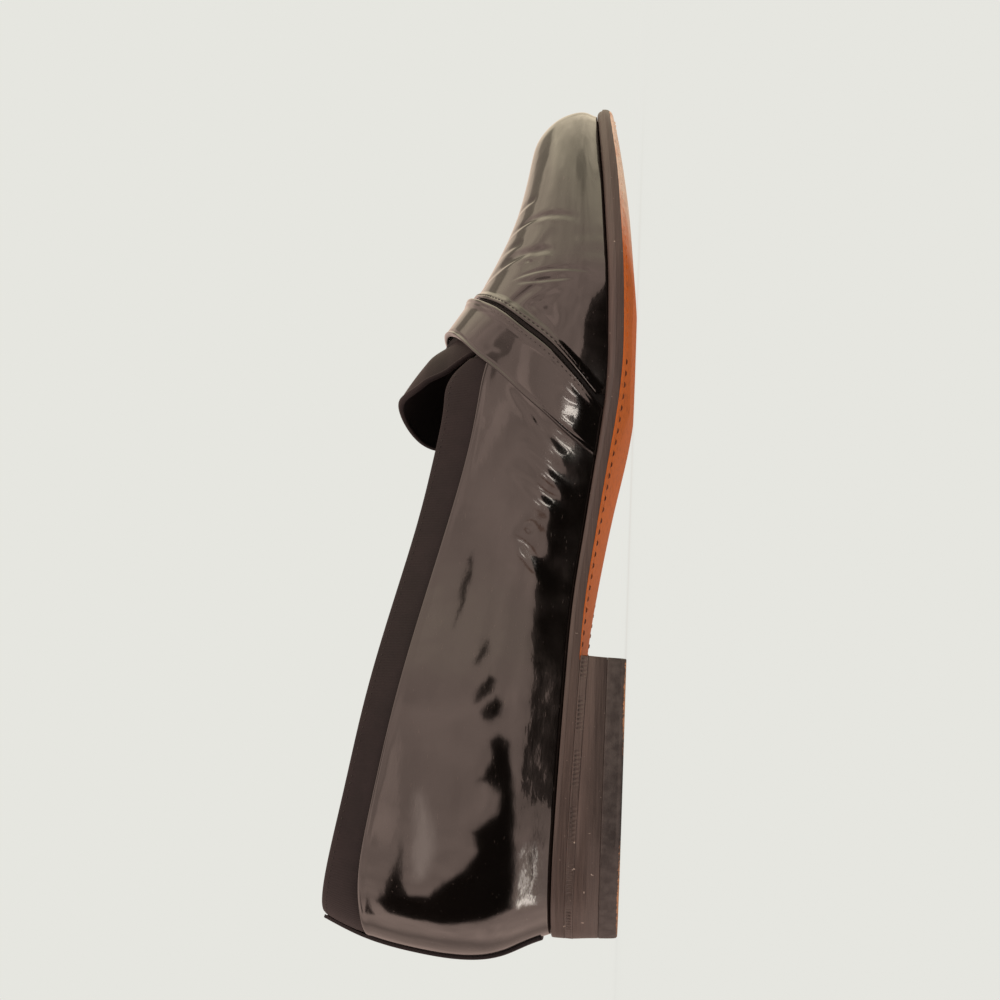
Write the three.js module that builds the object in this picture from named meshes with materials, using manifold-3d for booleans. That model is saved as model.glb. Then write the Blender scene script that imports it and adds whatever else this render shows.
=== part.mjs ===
// Patent leather loafer, a left shoe, standing empty on its heel and forefoot.
// Millimetres. +X runs from the heel to the toe, +Z is up, and +Y is the outer (lateral) side.
// Every piece is worked out from one last: a closed form whose meridians climb from the feather
// line, where the upper meets the sole, to a comb line over the middle of the foot.

import * as THREE from 'three';
import { mergeVertices } from 'three/addons/utils/BufferGeometryUtils.js';
import Module from 'manifold-3d';

const wasm = await Module();
wasm.setup();

// Driving sizes
const LENGTH = 292;            // outsole, back of the heel to the tip of the toe
const BALL_WIDTH = 95;         // outsole across the ball
const INSTEP_HEIGHT = 64;      // sole to the comb under the strap
const BACK_HEIGHT = 92;        // floor to the topline at the back
const HEEL_HEIGHT = 16;        // floor to the outsole at the back of the heel
const TOE_SPRING = 12.5;       // floor to the outsole at the tip of the toe
const EDGE_RISE = 4.6;         // sole edge above the middle of the tread, at the ball
const COUNTER_BULGE = 9;       // how far the counter swells past the feather line

// Leather and rubber
const UPPER_WALL = 2.2;
const OUTSOLE_THICKNESS = 2.6;
const WELT_THICKNESS = 1.1;
const WELT_PROJECTION = 2.8;
const WELT_LIFT = 1.8;
const INSOLE_THICKNESS = 2.9;
const TONGUE_WALL = 1.6;
const STRAP_WALL = 1.4;
const ROLL_HEIGHT = 1.1;       // turned and stitched edges beside the strap's groove
const ROLL_WIDTH = 4;
const GROOVE_WIDTH = 1.4;
const BINDING_WIDTH = 10;
const BINDING_WALL = 0.8;
const BACK_STRIP_WIDTH = 10;
const BACK_STRIP_WALL = 0.8;
const TOP_PIECE_THICKNESS = 5.8;
const RAND_THICKNESS = 2.5;
const RIB_PITCH = 1.4;
const RIB_DEPTH = 0.35;
const HEEL_LENGTH = 84;
const BREAST_HOLLOW = 3;       // how far the front of the heel is cut back at its middle
const HEEL_TAPER = 0.9;        // how far the stack narrows down to the top piece
const TOP_PIECE_TAPER = 0.3;
const EDGE_ROUND = 0.2;        // broken corners of the sole's edge
const FIT = 0.3;               // clearance between two pieces that meet

// Sampling of the last
const AROUND = 72;
const UP = 12;
const ACROSS = 8;

// Outsole outline, as shares of the ball width to either side of the heel's centre line
const OUTLINE = [
  { along: 0.03, medial: 0.195, lateral: 0.195 },
  { along: 0.08, medial: 0.287, lateral: 0.287 },
  { along: 0.15, medial: 0.328, lateral: 0.338 },
  { along: 0.22, medial: 0.330, lateral: 0.348 },
  { along: 0.30, medial: 0.295, lateral: 0.358 },
  { along: 0.40, medial: 0.260, lateral: 0.374 },
  { along: 0.50, medial: 0.290, lateral: 0.405 },
  { along: 0.58, medial: 0.368, lateral: 0.451 },
  { along: 0.64, medial: 0.446, lateral: 0.490 },
  { along: 0.70, medial: 0.492, lateral: 0.500 },
  { along: 0.76, medial: 0.490, lateral: 0.476 },
  { along: 0.82, medial: 0.466, lateral: 0.425 },
  { along: 0.88, medial: 0.424, lateral: 0.350 },
  { along: 0.93, medial: 0.370, lateral: 0.262 },
  { along: 0.97, medial: 0.295, lateral: 0.160 },
  { along: 0.99, medial: 0.205, lateral: 0.055 },
];
const TOE_TIP_SIDE = -0.075;   // the tip lies towards the big toe

// Underside of the sole: heel in shares of the heel height, spring of the toe spring,
// rise in shares of the edge rise. Where the curve dips below the floor it is worn flat.
const SOLE_PROFILE = [
  { along: 0.00, heel: 1.000, spring: 0.00, rise: 0.00 },
  { along: 0.10, heel: 0.975, spring: 0.00, rise: 0.00 },
  { along: 0.20, heel: 0.925, spring: 0.00, rise: 0.00 },
  { along: 0.29, heel: 0.870, spring: 0.00, rise: 0.03 },
  { along: 0.35, heel: 0.745, spring: 0.00, rise: 0.28 },
  { along: 0.42, heel: 0.560, spring: 0.00, rise: 0.45 },
  { along: 0.50, heel: 0.310, spring: 0.00, rise: 0.65 },
  { along: 0.56, heel: 0.095, spring: 0.00, rise: 0.85 },
  { along: 0.61, heel: -0.025, spring: 0.00, rise: 0.98 },
  { along: 0.66, heel: -0.050, spring: 0.00, rise: 1.08 },
  { along: 0.72, heel: -0.015, spring: 0.01, rise: 1.10 },
  { along: 0.78, heel: 0.000, spring: 0.12, rise: 1.05 },
  { along: 0.84, heel: 0.000, spring: 0.26, rise: 1.00 },
  { along: 0.90, heel: 0.000, spring: 0.46, rise: 0.85 },
  { along: 0.95, heel: 0.000, spring: 0.67, rise: 0.60 },
  { along: 1.00, heel: 0.000, spring: 1.00, rise: 0.00 },
];

// The last above each point of the feather line: where its meridian meets the comb (comb along
// the length, side in shares of the ball width, height in shares of the instep height above the
// sole), how square the meridian is (1 is an ellipse), the swell in shares of the counter's
// bulge, and the welt's projection and lift in shares of their sizes.
const LAST = [
  { along: 0.00, comb: 0.130, side: 0.00, height: 1.540, square: 0.30, swell: 1.00, welt: 0.35, lift: 0.00 },
  { along: 0.08, comb: 0.155, side: 0.00, height: 1.530, square: 0.32, swell: 0.72, welt: 0.32, lift: 0.00 },
  { along: 0.15, comb: 0.190, side: 0.00, height: 1.510, square: 0.34, swell: 0.52, welt: 0.30, lift: 0.00 },
  { along: 0.22, comb: 0.235, side: 0.00, height: 1.475, square: 0.36, swell: 0.46, welt: 0.30, lift: 0.00 },
  { along: 0.30, comb: 0.305, side: 0.00, height: 1.415, square: 0.39, swell: 0.44, welt: 0.35, lift: 0.03 },
  { along: 0.40, comb: 0.400, side: 0.00, height: 1.350, square: 0.50, swell: 0.44, welt: 0.42, lift: 0.10 },
  { along: 0.50, comb: 0.500, side: 0.01, height: 1.315, square: 0.75, swell: 0.38, welt: 0.60, lift: 0.35 },
  { along: 0.56, comb: 0.560, side: 0.01, height: 1.325, square: 0.94, swell: 0.32, welt: 0.82, lift: 0.65 },
  { along: 0.60, comb: 0.600, side: 0.01, height: 1.285, square: 1.02, swell: 0.28, welt: 0.92, lift: 0.85 },
  { along: 0.64, comb: 0.640, side: 0.00, height: 1.180, square: 1.06, swell: 0.26, welt: 1.00, lift: 1.00 },
  { along: 0.68, comb: 0.680, side: -0.01, height: 1.030, square: 1.05, swell: 0.25, welt: 1.00, lift: 1.00 },
  { along: 0.74, comb: 0.740, side: -0.02, height: 0.842, square: 0.98, swell: 0.25, welt: 1.00, lift: 1.00 },
  { along: 0.80, comb: 0.795, side: -0.04, height: 0.688, square: 0.84, swell: 0.28, welt: 1.00, lift: 1.00 },
  { along: 0.88, comb: 0.850, side: -0.06, height: 0.566, square: 0.64, swell: 0.36, welt: 1.00, lift: 1.00 },
  { along: 0.94, comb: 0.885, side: -0.075, height: 0.509, square: 0.52, swell: 0.30, welt: 0.95, lift: 0.95 },
  { along: 1.00, comb: 0.900, side: -0.08, height: 0.491, square: 0.46, swell: 0.20, welt: 0.90, lift: 0.90 },
];

// Swell of the wall with height, from the feather line (0) to the comb (1)
const SWELL = [
  { up: -0.10, out: -0.40 },
  { up: 0.000, out: 0.00 },
  { up: 0.075, out: 0.33 },
  { up: 0.140, out: 0.68 },
  { up: 0.260, out: 0.98 },
  { up: 0.420, out: 0.97 },
  { up: 0.600, out: 0.76 },
  { up: 0.740, out: 0.40 },
  { up: 0.880, out: 0.10 },
  { up: 1.000, out: 0.00 },
];

// Topline from the back to the strap, in shares of the length and of the back height,
// with the depth of the binding below it in shares of the binding's width
const TOPLINE = [
  { along: -0.060, height: 1.020, binding: 1.55 },
  { along: 0.000, height: 1.000, binding: 1.42 },
  { along: 0.035, height: 0.972, binding: 1.16 },
  { along: 0.100, height: 0.925, binding: 0.94 },
  { along: 0.180, height: 0.887, binding: 0.92 },
  { along: 0.270, height: 0.850, binding: 0.96 },
  { along: 0.360, height: 0.804, binding: 0.99 },
  { along: 0.450, height: 0.754, binding: 1.06 },
  { along: 0.520, height: 0.721, binding: 1.16 },
  { along: 0.575, height: 0.702, binding: 1.22 },
  { along: 0.600, height: 0.692, binding: 1.24 },
  { along: 0.613, height: 0.660, binding: 1.04 },
  { along: 0.624, height: 0.610, binding: 0.66 },
];

// Strap seen from the side: its back edge and the groove at its front, in shares of the length,
// at heights in shares of the instep height
const STRAP = [
  { height: 0.06, back: 0.488, groove: 0.546 },
  { height: 0.21, back: 0.514, groove: 0.578 },
  { height: 0.33, back: 0.531, groove: 0.605 },
  { height: 0.45, back: 0.553, groove: 0.630 },
  { height: 0.58, back: 0.577, groove: 0.653 },
  { height: 0.70, back: 0.601, groove: 0.677 },
  { height: 0.83, back: 0.625, groove: 0.703 },
  { height: 0.97, back: 0.659, groove: 0.742 },
  { height: 1.12, back: 0.690, groove: 0.785 },
];

// Free edge of the tongue seen from the side, in shares of the length and the instep height.
// It leans back towards the outer side by TONGUE_LEAN of the width.
const TONGUE_EDGE = [
  { along: 0.626, height: 0.60 },
  { along: 0.613, height: 0.88 },
  { along: 0.607, height: 1.00 },
  { along: 0.599, height: 1.10 },
  { along: 0.593, height: 1.18 },
  { along: 0.593, height: 1.27 },
  { along: 0.600, height: 1.34 },
  { along: 0.612, height: 1.42 },
];
const TONGUE_LEAN = 0.22;
const TONGUE_REACH = 0.725;    // how far the tongue runs under the vamp, as a share of the length
const TONGUE_FREE = { from: 0.72, to: 0.80 };   // heights, in shares of the back height,
                                                // over which it comes out from between the quarters
const THROAT_LAP = 4.5;        // how far the strap laps over the throat's edge
const THROAT_FOOT = 0.8;       // lowest point of the throat, as a share of the instep height

// Top of the welt from its edge inwards, in shares of its projection, thickness and lift
const WELT_SECTION = [
  { inset: 0.00, thickness: 0.70, lift: 0.00 },
  { inset: 0.30, thickness: 1.00, lift: 0.55 },
  { inset: 0.80, thickness: 1.00, lift: 1.00 },
];

// Natural cubic spline through points that rise in x.
function spline(xs, ys) {
  const n = xs.length;
  const bend = new Array(n).fill(0);
  const upper = new Array(n).fill(0);
  for (let i = 1; i < n - 1; i++) {
    const left = xs[i] - xs[i - 1];
    const both = xs[i + 1] - xs[i - 1];
    const share = left / both;
    const pivot = share * bend[i - 1] + 2;
    const step = (ys[i + 1] - ys[i]) / (xs[i + 1] - xs[i]) - (ys[i] - ys[i - 1]) / left;
    bend[i] = (share - 1) / pivot;
    upper[i] = (6 * step / both - share * upper[i - 1]) / pivot;
  }
  bend[n - 1] = 0;
  for (let i = n - 2; i >= 0; i--) bend[i] = bend[i] * bend[i + 1] + upper[i];
  return (x) => {
    let i = 0;
    while (i < n - 2 && x > xs[i + 1]) i++;
    const width = xs[i + 1] - xs[i];
    const a = (xs[i + 1] - x) / width;
    const b = (x - xs[i]) / width;
    const curl = ((a ** 3 - a) * bend[i] + (b ** 3 - b) * bend[i + 1]) * width ** 2 / 6;
    return a * ys[i] + b * ys[i + 1] + curl;
  };
}

// A turn of the outline runs from the heel's back (0) along the medial side to the toe (PI) and
// back along the lateral side. Its share of the length is (1 - cos turn) / 2.
const turnOf = (along) => Math.acos(THREE.MathUtils.clamp(1 - 2 * along, -1, 1));
const alongOf = (turn) => (1 - Math.cos(turn)) / 2;

// A column that is the same on both sides, as a smooth function of the turn.
function bothSides(rows, column) {
  const turns = rows.map((row) => turnOf(row.along));
  const values = rows.map((row) => row[column]);
  const before = turns.slice(1, 4).map((t) => -t).reverse();
  const after = turns.slice(-4, -1).map((t) => 2 * Math.PI - t).reverse();
  const curve = spline(
    [...before, ...turns, ...after],
    [...values.slice(1, 4).reverse(), ...values, ...values.slice(-4, -1).reverse()],
  );
  return (turn) => curve(Math.acos(THREE.MathUtils.clamp(Math.cos(turn), -1, 1)));
}

function outlineCurve() {
  const medial = OUTLINE.map((row) => [turnOf(row.along), -row.medial]);
  const lateral = OUTLINE.map((row) => [2 * Math.PI - turnOf(row.along), row.lateral]).reverse();
  const loop = [[0, 0], ...medial, [Math.PI, TOE_TIP_SIDE], ...lateral];
  const wrap = (row, shift) => [row[0] + shift, row[1]];
  const all = [
    ...loop.slice(-4).map((row) => wrap(row, -2 * Math.PI)),
    ...loop,
    ...loop.slice(0, 4).map((row) => wrap(row, 2 * Math.PI)),
  ];
  const curve = spline(all.map((row) => row[0]), all.map((row) => row[1]));
  return (turn) => BALL_WIDTH * curve(THREE.MathUtils.euclideanModulo(turn, 2 * Math.PI));
}

const outlineSide = outlineCurve();
const profile = {
  heel: bothSides(SOLE_PROFILE, 'heel'),
  spring: bothSides(SOLE_PROFILE, 'spring'),
  rise: bothSides(SOLE_PROFILE, 'rise'),
};
const last = {
  comb: bothSides(LAST, 'comb'),
  side: bothSides(LAST, 'side'),
  height: bothSides(LAST, 'height'),
  square: bothSides(LAST, 'square'),
  swell: bothSides(LAST, 'swell'),
  welt: bothSides(LAST, 'welt'),
  lift: bothSides(LAST, 'lift'),
};
const swellAt = spline(SWELL.map((row) => row.up), SWELL.map((row) => row.out));

// Point of the sole's outline, moved in by an inset along its normal.
function outlinePoint(turn, inset = 0) {
  const step = 1e-3;
  const at = (t) => new THREE.Vector2(LENGTH * alongOf(t), outlineSide(t));
  const tangent = at(turn + step).sub(at(turn - step)).normalize();
  return at(turn).add(new THREE.Vector2(-tangent.y, tangent.x).multiplyScalar(inset));
}

// Height of the sole's underside over the floor: the centre line's height, plus the rise of the
// edges with the square of the share of the half width.
function undersideCurve(x, y) {
  const turn = turnOf(x / LENGTH);
  const medial = outlineSide(turn);
  const lateral = outlineSide(-turn);
  const half = (lateral - medial) / 2;
  const share = half > 0.01 ? Math.min(1, Math.abs(y - (lateral + medial) / 2) / half) : 1;
  const centre = HEEL_HEIGHT * profile.heel(turn) + TOE_SPRING * profile.spring(turn);
  return centre + EDGE_RISE * profile.rise(turn) * share ** 2;
}
const underside = (x, y) => Math.max(0, undersideCurve(x, y));

const BAND = OUTSOLE_THICKNESS + FIT + WELT_THICKNESS;

function featherHeight(turn, point) {
  return undersideCurve(point.x, point.y) + BAND + WELT_LIFT * last.lift(turn) + FIT;
}

// Point of the last, at a turn of the outline and a climb from the feather line (0) to the
// comb (PI / 2). In plan it moves straight from the feather to the comb by cos(climb) to the
// power of the squareness, it rises by sin(climb), and the swell pushes it out.
function lastPoint(turn, climb) {
  const inset = WELT_PROJECTION * last.welt(turn);
  const foot = outlinePoint(turn, inset);
  const footHeight = featherHeight(turn, foot);
  const combX = LENGTH * last.comb(turn);
  const combY = BALL_WIDTH * last.side(turn);
  const combTurn = turnOf(last.comb(turn));
  const sole = HEEL_HEIGHT * profile.heel(combTurn) + TOE_SPRING * profile.spring(combTurn);
  const combHeight = sole + BAND + INSTEP_HEIGHT * last.height(turn);
  const out = Math.cos(climb) ** last.square(turn);
  const up = Math.sin(climb);
  const normal = outlinePoint(turn, -1).sub(outlinePoint(turn, 0));
  const swell = COUNTER_BULGE * last.swell(turn) * swellAt(up);
  return new THREE.Vector3(
    combX + (foot.x - combX) * out + normal.x * swell,
    combY + (foot.y - combY) * out + normal.y * swell,
    footHeight + (combHeight - footHeight) * up,
  );
}

function lastNormal(turn, climb) {
  const step = 0.02;
  const high = Math.min(climb + step, Math.PI / 2 - step);
  const low = Math.max(high - 2 * step, 0);
  const middle = (low + high) / 2;
  const along = lastPoint(turn + step, middle).sub(lastPoint(turn - step, middle));
  const up = lastPoint(turn, high).sub(lastPoint(turn, low));
  return along.cross(up).normalize();
}

function toGeometry(points, triangles) {
  const geometry = new THREE.BufferGeometry();
  const flat = points.flatMap((p) => [p.x, p.y, p.z]);
  geometry.setAttribute('position', new THREE.Float32BufferAttribute(flat, 3));
  geometry.setIndex(triangles);
  return geometry;
}

function toSolid(geometry) {
  const bare = geometry.clone();
  bare.deleteAttribute('normal');
  bare.deleteAttribute('uv');
  const merged = mergeVertices(bare, 1e-4);
  return new wasm.Manifold(new wasm.Mesh({
    numProp: 3,
    vertProperties: Float32Array.from(merged.attributes.position.array),
    triVerts: Uint32Array.from(merged.index.array),
  }));
}

function fromSolid(solid) {
  const { vertProperties, triVerts, numProp } = solid.getMesh();
  const geometry = new THREE.BufferGeometry();
  const position = new Float32Array(vertProperties.length / numProp * 3);
  for (let i = 0; i < position.length / 3; i++) {
    for (let k = 0; k < 3; k++) position[3 * i + k] = vertProperties[numProp * i + k];
  }
  geometry.setAttribute('position', new THREE.BufferAttribute(position, 3));
  geometry.setIndex(new THREE.BufferAttribute(Uint32Array.from(triVerts), 1));
  geometry.computeVertexNormals();
  return geometry;
}

// Closed form at an offset from the last. The offset is a number or a function of the point on
// the last, and a skirt carries the form below the feather line so that it cuts right through.
function form(offset, skirt = 0) {
  const points = [];
  const half = AROUND / 2;
  for (let row = 0; row <= UP; row++) {
    const climb = Math.PI / 2 * row / UP;
    for (let j = 0; j < AROUND; j++) {
      const turn = 2 * Math.PI * j / AROUND;
      const point = lastPoint(turn, climb);
      const normal = lastNormal(turn, climb);
      if (row === UP) normal.add(lastNormal(-turn, climb)).normalize();
      const distance = typeof offset === 'number' ? offset : offset(point);
      points.push(point.addScaledVector(normal, distance));
    }
  }
  const skirtStart = points.length;
  for (let j = 0; j < AROUND; j++) points.push(points[j].clone().setZ(points[j].z - skirt));
  const at = (row, j) => {
    const wrapped = (j + AROUND) % AROUND;
    if (row < 0) return skirtStart + wrapped;
    return row * AROUND + (row === UP && wrapped > half ? AROUND - wrapped : wrapped);
  };
  const triangles = [];
  const quad = (a, b, c, d) => {
    if (a !== b && b !== c && a !== c) triangles.push(a, b, c);
    if (a !== c && c !== d && a !== d) triangles.push(a, c, d);
  };
  for (let row = skirt > 0 ? -1 : 0; row < UP; row++) {
    for (let j = 0; j < AROUND; j++) quad(at(row, j), at(row, j + 1), at(row + 1, j + 1), at(row + 1, j));
  }
  const foot = skirt > 0 ? -1 : 0;
  for (let j = 0; j < half; j++) quad(at(foot, -j), at(foot, -j - 1), at(foot, j + 1), at(foot, j));
  return toSolid(toGeometry(points, triangles));
}

// Solid with a side-view outline, carried across the shoe and leaning back towards +Y.
function sidePrism(outline, from = -BALL_WIDTH, to = BALL_WIDTH, lean = 0) {
  const shape = new THREE.Shape(outline.map(([x, z]) => new THREE.Vector2(x, z)));
  const geometry = new THREE.ExtrudeGeometry(shape, { depth: to - from, bevelEnabled: false });
  geometry.rotateX(Math.PI / 2);
  geometry.translate(0, to, 0);
  geometry.applyMatrix4(new THREE.Matrix4().makeShear(0, 0, -lean, 0, 0, 0));
  return toSolid(geometry);
}

// Plate over the sole's outline, between two heights given as functions of the plan.
function plate(inset, bottom, top, across = ACROSS) {
  const half = AROUND / 2;
  const points = [];
  const rows = [];
  for (const height of [bottom, top]) {
    for (let i = 0; i <= half; i++) {
      const turn = 2 * Math.PI * i / AROUND;
      const a = outlinePoint(turn, inset);
      const b = outlinePoint(-turn, inset);
      const count = i === 0 || i === half ? 0 : across;
      const row = [];
      for (let k = 0; k <= count; k++) {
        const p = a.clone().lerp(b, count ? k / count : 0);
        row.push(points.length);
        points.push(new THREE.Vector3(p.x, p.y, height(p.x, p.y)));
      }
      while (row.length <= across) row.push(row[0]);
      rows.push(row);
    }
  }
  const triangles = [];
  const quad = (a, b, c, d) => {
    if (a !== b && b !== c && a !== c) triangles.push(a, b, c);
    if (a !== c && c !== d && a !== d) triangles.push(a, c, d);
  };
  const low = rows.slice(0, half + 1);
  const high = rows.slice(half + 1);
  for (let i = 0; i < half; i++) {
    for (let k = 0; k < across; k++) {
      quad(low[i][k], low[i][k + 1], low[i + 1][k + 1], low[i + 1][k]);
      quad(high[i][k], high[i + 1][k], high[i + 1][k + 1], high[i][k + 1]);
    }
    quad(low[i][0], low[i + 1][0], high[i + 1][0], high[i][0]);
    quad(low[i + 1][across], low[i][across], high[i][across], high[i + 1][across]);
  }
  return toGeometry(points, triangles);
}

// Ring round the whole outline with one section: each corner has an inset and a height.
function ring(corners) {
  const points = [];
  const triangles = [];
  for (let j = 0; j < AROUND; j++) {
    const turn = 2 * Math.PI * j / AROUND;
    for (const corner of corners(turn)) {
      const p = outlinePoint(turn, corner.inset);
      points.push(new THREE.Vector3(p.x, p.y, undersideCurve(p.x, p.y) + corner.up));
    }
  }
  const count = points.length / AROUND;
  for (let j = 0; j < AROUND; j++) {
    for (let k = 0; k < count; k++) {
      const a = j * count + k;
      const b = ((j + 1) % AROUND) * count + k;
      const c = ((j + 1) % AROUND) * count + (k + 1) % count;
      const d = j * count + (k + 1) % count;
      triangles.push(a, b, c, a, c, d);
    }
  }
  return toGeometry(points, triangles);
}

// Layer of the heel: the back of the sole's outline, closed by the hollow of the breast.
function heelLayer(lowInset, highInset, bottom, top, ribs = false) {
  const breastTurn = turnOf(HEEL_LENGTH / LENGTH);
  const reach = outlinePoint(breastTurn).distanceTo(outlinePoint(0)) * 2;
  const ribCount = Math.round(reach / RIB_PITCH);
  const steps = ribs ? 2 * ribCount : AROUND / 2;
  const outline = (inset, depth) => {
    const loop = [];
    for (let i = 0; i <= steps; i++) {
      const turn = breastTurn * (1 - 2 * i / steps);
      const rib = ribs && i % 2 === 1 ? depth : 0;
      loop.push(outlinePoint(turn, inset + rib));
    }
    const start = loop[loop.length - 1];
    const end = loop[0];
    for (let k = 1; k < ACROSS; k++) {
      const share = k / ACROSS;
      const p = start.clone().lerp(end, share);
      loop.push(p.setX(p.x - BREAST_HOLLOW * 4 * share * (1 - share)));
    }
    return loop;
  };
  const low = outline(lowInset, RIB_DEPTH);
  const high = outline(highInset, RIB_DEPTH);
  const count = low.length;
  const points = [
    ...low.map((p) => new THREE.Vector3(p.x, p.y, bottom(p.x, p.y))),
    ...high.map((p) => new THREE.Vector3(p.x, p.y, top(p.x, p.y))),
  ];
  const clockwise = THREE.ShapeUtils.isClockWise(low);
  const triangles = [];
  const push = (a, b, c) => triangles.push(...(clockwise ? [a, c, b] : [a, b, c]));
  for (let i = 0; i < count; i++) {
    const next = (i + 1) % count;
    push(i, next, count + next);
    push(i, count + next, count + i);
  }
  for (const [a, b, c] of THREE.ShapeUtils.triangulateShape(high, [])) {
    triangles.push(count + a, count + b, count + c);
    triangles.push(a, c, b);
  }
  return toGeometry(points, triangles);
}

// Side-view lines
const topline = TOPLINE.map((row) => [LENGTH * row.along, BACK_HEIGHT * row.height]);
const bindingLine = (lift) => TOPLINE.map((row) => [
  LENGTH * row.along,
  BACK_HEIGHT * row.height - BINDING_WIDTH * row.binding + lift,
]);
const strapLine = (column, shift) => STRAP.map((row) => [
  LENGTH * row[column] + shift,
  INSTEP_HEIGHT * row.height,
]);
const tongueLine = TONGUE_EDGE.map((row) => [LENGTH * row.along, INSTEP_HEIGHT * row.height]);
const strapBack = spline(
  STRAP.map((row) => INSTEP_HEIGHT * row.height),
  STRAP.map((row) => LENGTH * row.back),
);

const CLEAR_ABOVE = 2 * INSTEP_HEIGHT + HEEL_HEIGHT;

// What the collar and the throat leave open, drawn in by a clearance from the leather round it.
function openingWithin(clearance) {
  const throat = strapLine('back', THROAT_LAP - clearance)
    .filter(([, z]) => z > THROAT_FOOT * INSTEP_HEIGHT);
  const throatTop = throat[throat.length - 1];
  return sidePrism([
    ...topline.map(([x, z]) => [x, z + clearance]),
    ...throat,
    [throatTop[0] + THROAT_LAP, CLEAR_ABOVE],
    [topline[0][0], CLEAR_ABOVE],
  ]);
}
const opening = openingWithin(0);

// Side-view band of the binding. The recess for it is a clearance larger all round.
function bindingBand(clearance) {
  const low = bindingLine(-clearance);
  const high = topline.map(([x, z]) => [x, z + clearance]);
  const shift = ([x, z]) => [x + clearance, z];
  const grow = (line) => [...line.slice(0, -1), shift(line[line.length - 1])];
  return sidePrism([...grow(low), ...grow(high).reverse()]);
}

function strapBand(backColumn, backShift, frontColumn, frontShift) {
  return sidePrism([
    ...strapLine(backColumn, backShift),
    ...strapLine(frontColumn, frontShift).reverse(),
  ]);
}

const outer = form(0);

function makeUpper() {
  const shell = outer.subtract(form(-UPPER_WALL, 2 * BAND)).subtract(opening);
  const recess = bindingBand(FIT).subtract(form(-BINDING_WALL - FIT));
  const roll = form(ROLL_HEIGHT).subtract(form(-UPPER_WALL / 2))
    .intersect(strapBand('groove', GROOVE_WIDTH / 2, 'groove', GROOVE_WIDTH / 2 + ROLL_WIDTH))
    .subtract(weltClearance);
  return fromSolid(shell.subtract(recess).add(roll));
}

function makeBinding() {
  const shell = outer.subtract(form(-BINDING_WALL));
  return fromSolid(shell.intersect(bindingBand(0)).subtract(opening));
}

function makeStrap() {
  const inner = form(FIT, 2 * BAND);
  const band = form(FIT + STRAP_WALL).intersect(strapBand('back', 0, 'groove', -GROOVE_WIDTH / 2));
  const roll = form(STRAP_WALL + ROLL_HEIGHT)
    .intersect(strapBand('groove', -GROOVE_WIDTH / 2 - ROLL_WIDTH, 'groove', -GROOVE_WIDTH / 2));
  return fromSolid(band.add(roll).subtract(inner).subtract(weltClearance));
}

// The tongue lies under the vamp. Behind the throat's edge it comes up to the last, so that it
// leaves the strap level with the leather in front of it.
function makeTongue() {
  const under = -UPPER_WALL - FIT;
  const strapTop = STRAP[STRAP.length - 1].height * INSTEP_HEIGHT;
  const rise = (point) => {
    const behind = strapBack(Math.min(point.z, strapTop)) + THROAT_LAP - point.x;
    const back = THREE.MathUtils.smoothstep(behind, 0, THROAT_LAP);
    const free = THREE.MathUtils.smoothstep(
      point.z,
      TONGUE_FREE.from * BACK_HEIGHT,
      TONGUE_FREE.to * BACK_HEIGHT,
    );
    return under * (1 - back * free);
  };
  const wall = outer.subtract(form(under)).subtract(openingWithin(FIT));
  const shell = form(rise).subtract(form((point) => rise(point) - TONGUE_WALL)).subtract(wall);
  const reach = LENGTH * TONGUE_REACH;
  const tip = tongueLine[tongueLine.length - 1];
  return fromSolid(shell.intersect(sidePrism([
    ...tongueLine,
    [tip[0], CLEAR_ABOVE],
    [reach, CLEAR_ABOVE],
    [reach, tongueLine[0][1]],
  ], -BALL_WIDTH, BALL_WIDTH, TONGUE_LEAN)));
}

function makeBackStrip() {
  const shell = form(FIT + BACK_STRIP_WALL).subtract(form(FIT));
  const foot = HEEL_HEIGHT + BAND + 2 * FIT;
  const top = topline[1][1];
  const back = topline[0][0];
  const front = topline[3][0];
  return fromSolid(shell.intersect(sidePrism(
    [[back, foot], [front, foot], [front, top], [back, top]],
    -BACK_STRIP_WIDTH / 2,
    BACK_STRIP_WIDTH / 2,
  )).subtract(opening));
}

const weltSection = (turn) => {
  const projection = WELT_PROJECTION * last.welt(turn);
  const lift = WELT_LIFT * last.lift(turn);
  const base = OUTSOLE_THICKNESS + FIT;
  return [
    { inset: EDGE_ROUND, up: base },
    ...WELT_SECTION.map((row) => ({
      inset: projection * row.inset,
      up: base + WELT_THICKNESS * row.thickness + lift * row.lift,
    })),
    { inset: projection + UPPER_WALL, up: BAND + lift },
    { inset: projection + UPPER_WALL, up: base },
  ];
};
const weltClearance = toSolid(plate(-STRAP_WALL - ROLL_HEIGHT - WELT_PROJECTION, () => -FIT, (x, y) => {
  const turn = y < 0 ? turnOf(x / LENGTH) : -turnOf(x / LENGTH);
  return undersideCurve(x, y) + BAND + WELT_LIFT * last.lift(turn) + FIT;
}, 4 * ACROSS));

const breast = (x, y) => underside(x, y) - FIT;
const randFoot = (x, y) => breast(x, y) - RAND_THICKNESS;
const stackTop = (x, y) => randFoot(x, y) - FIT;

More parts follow.
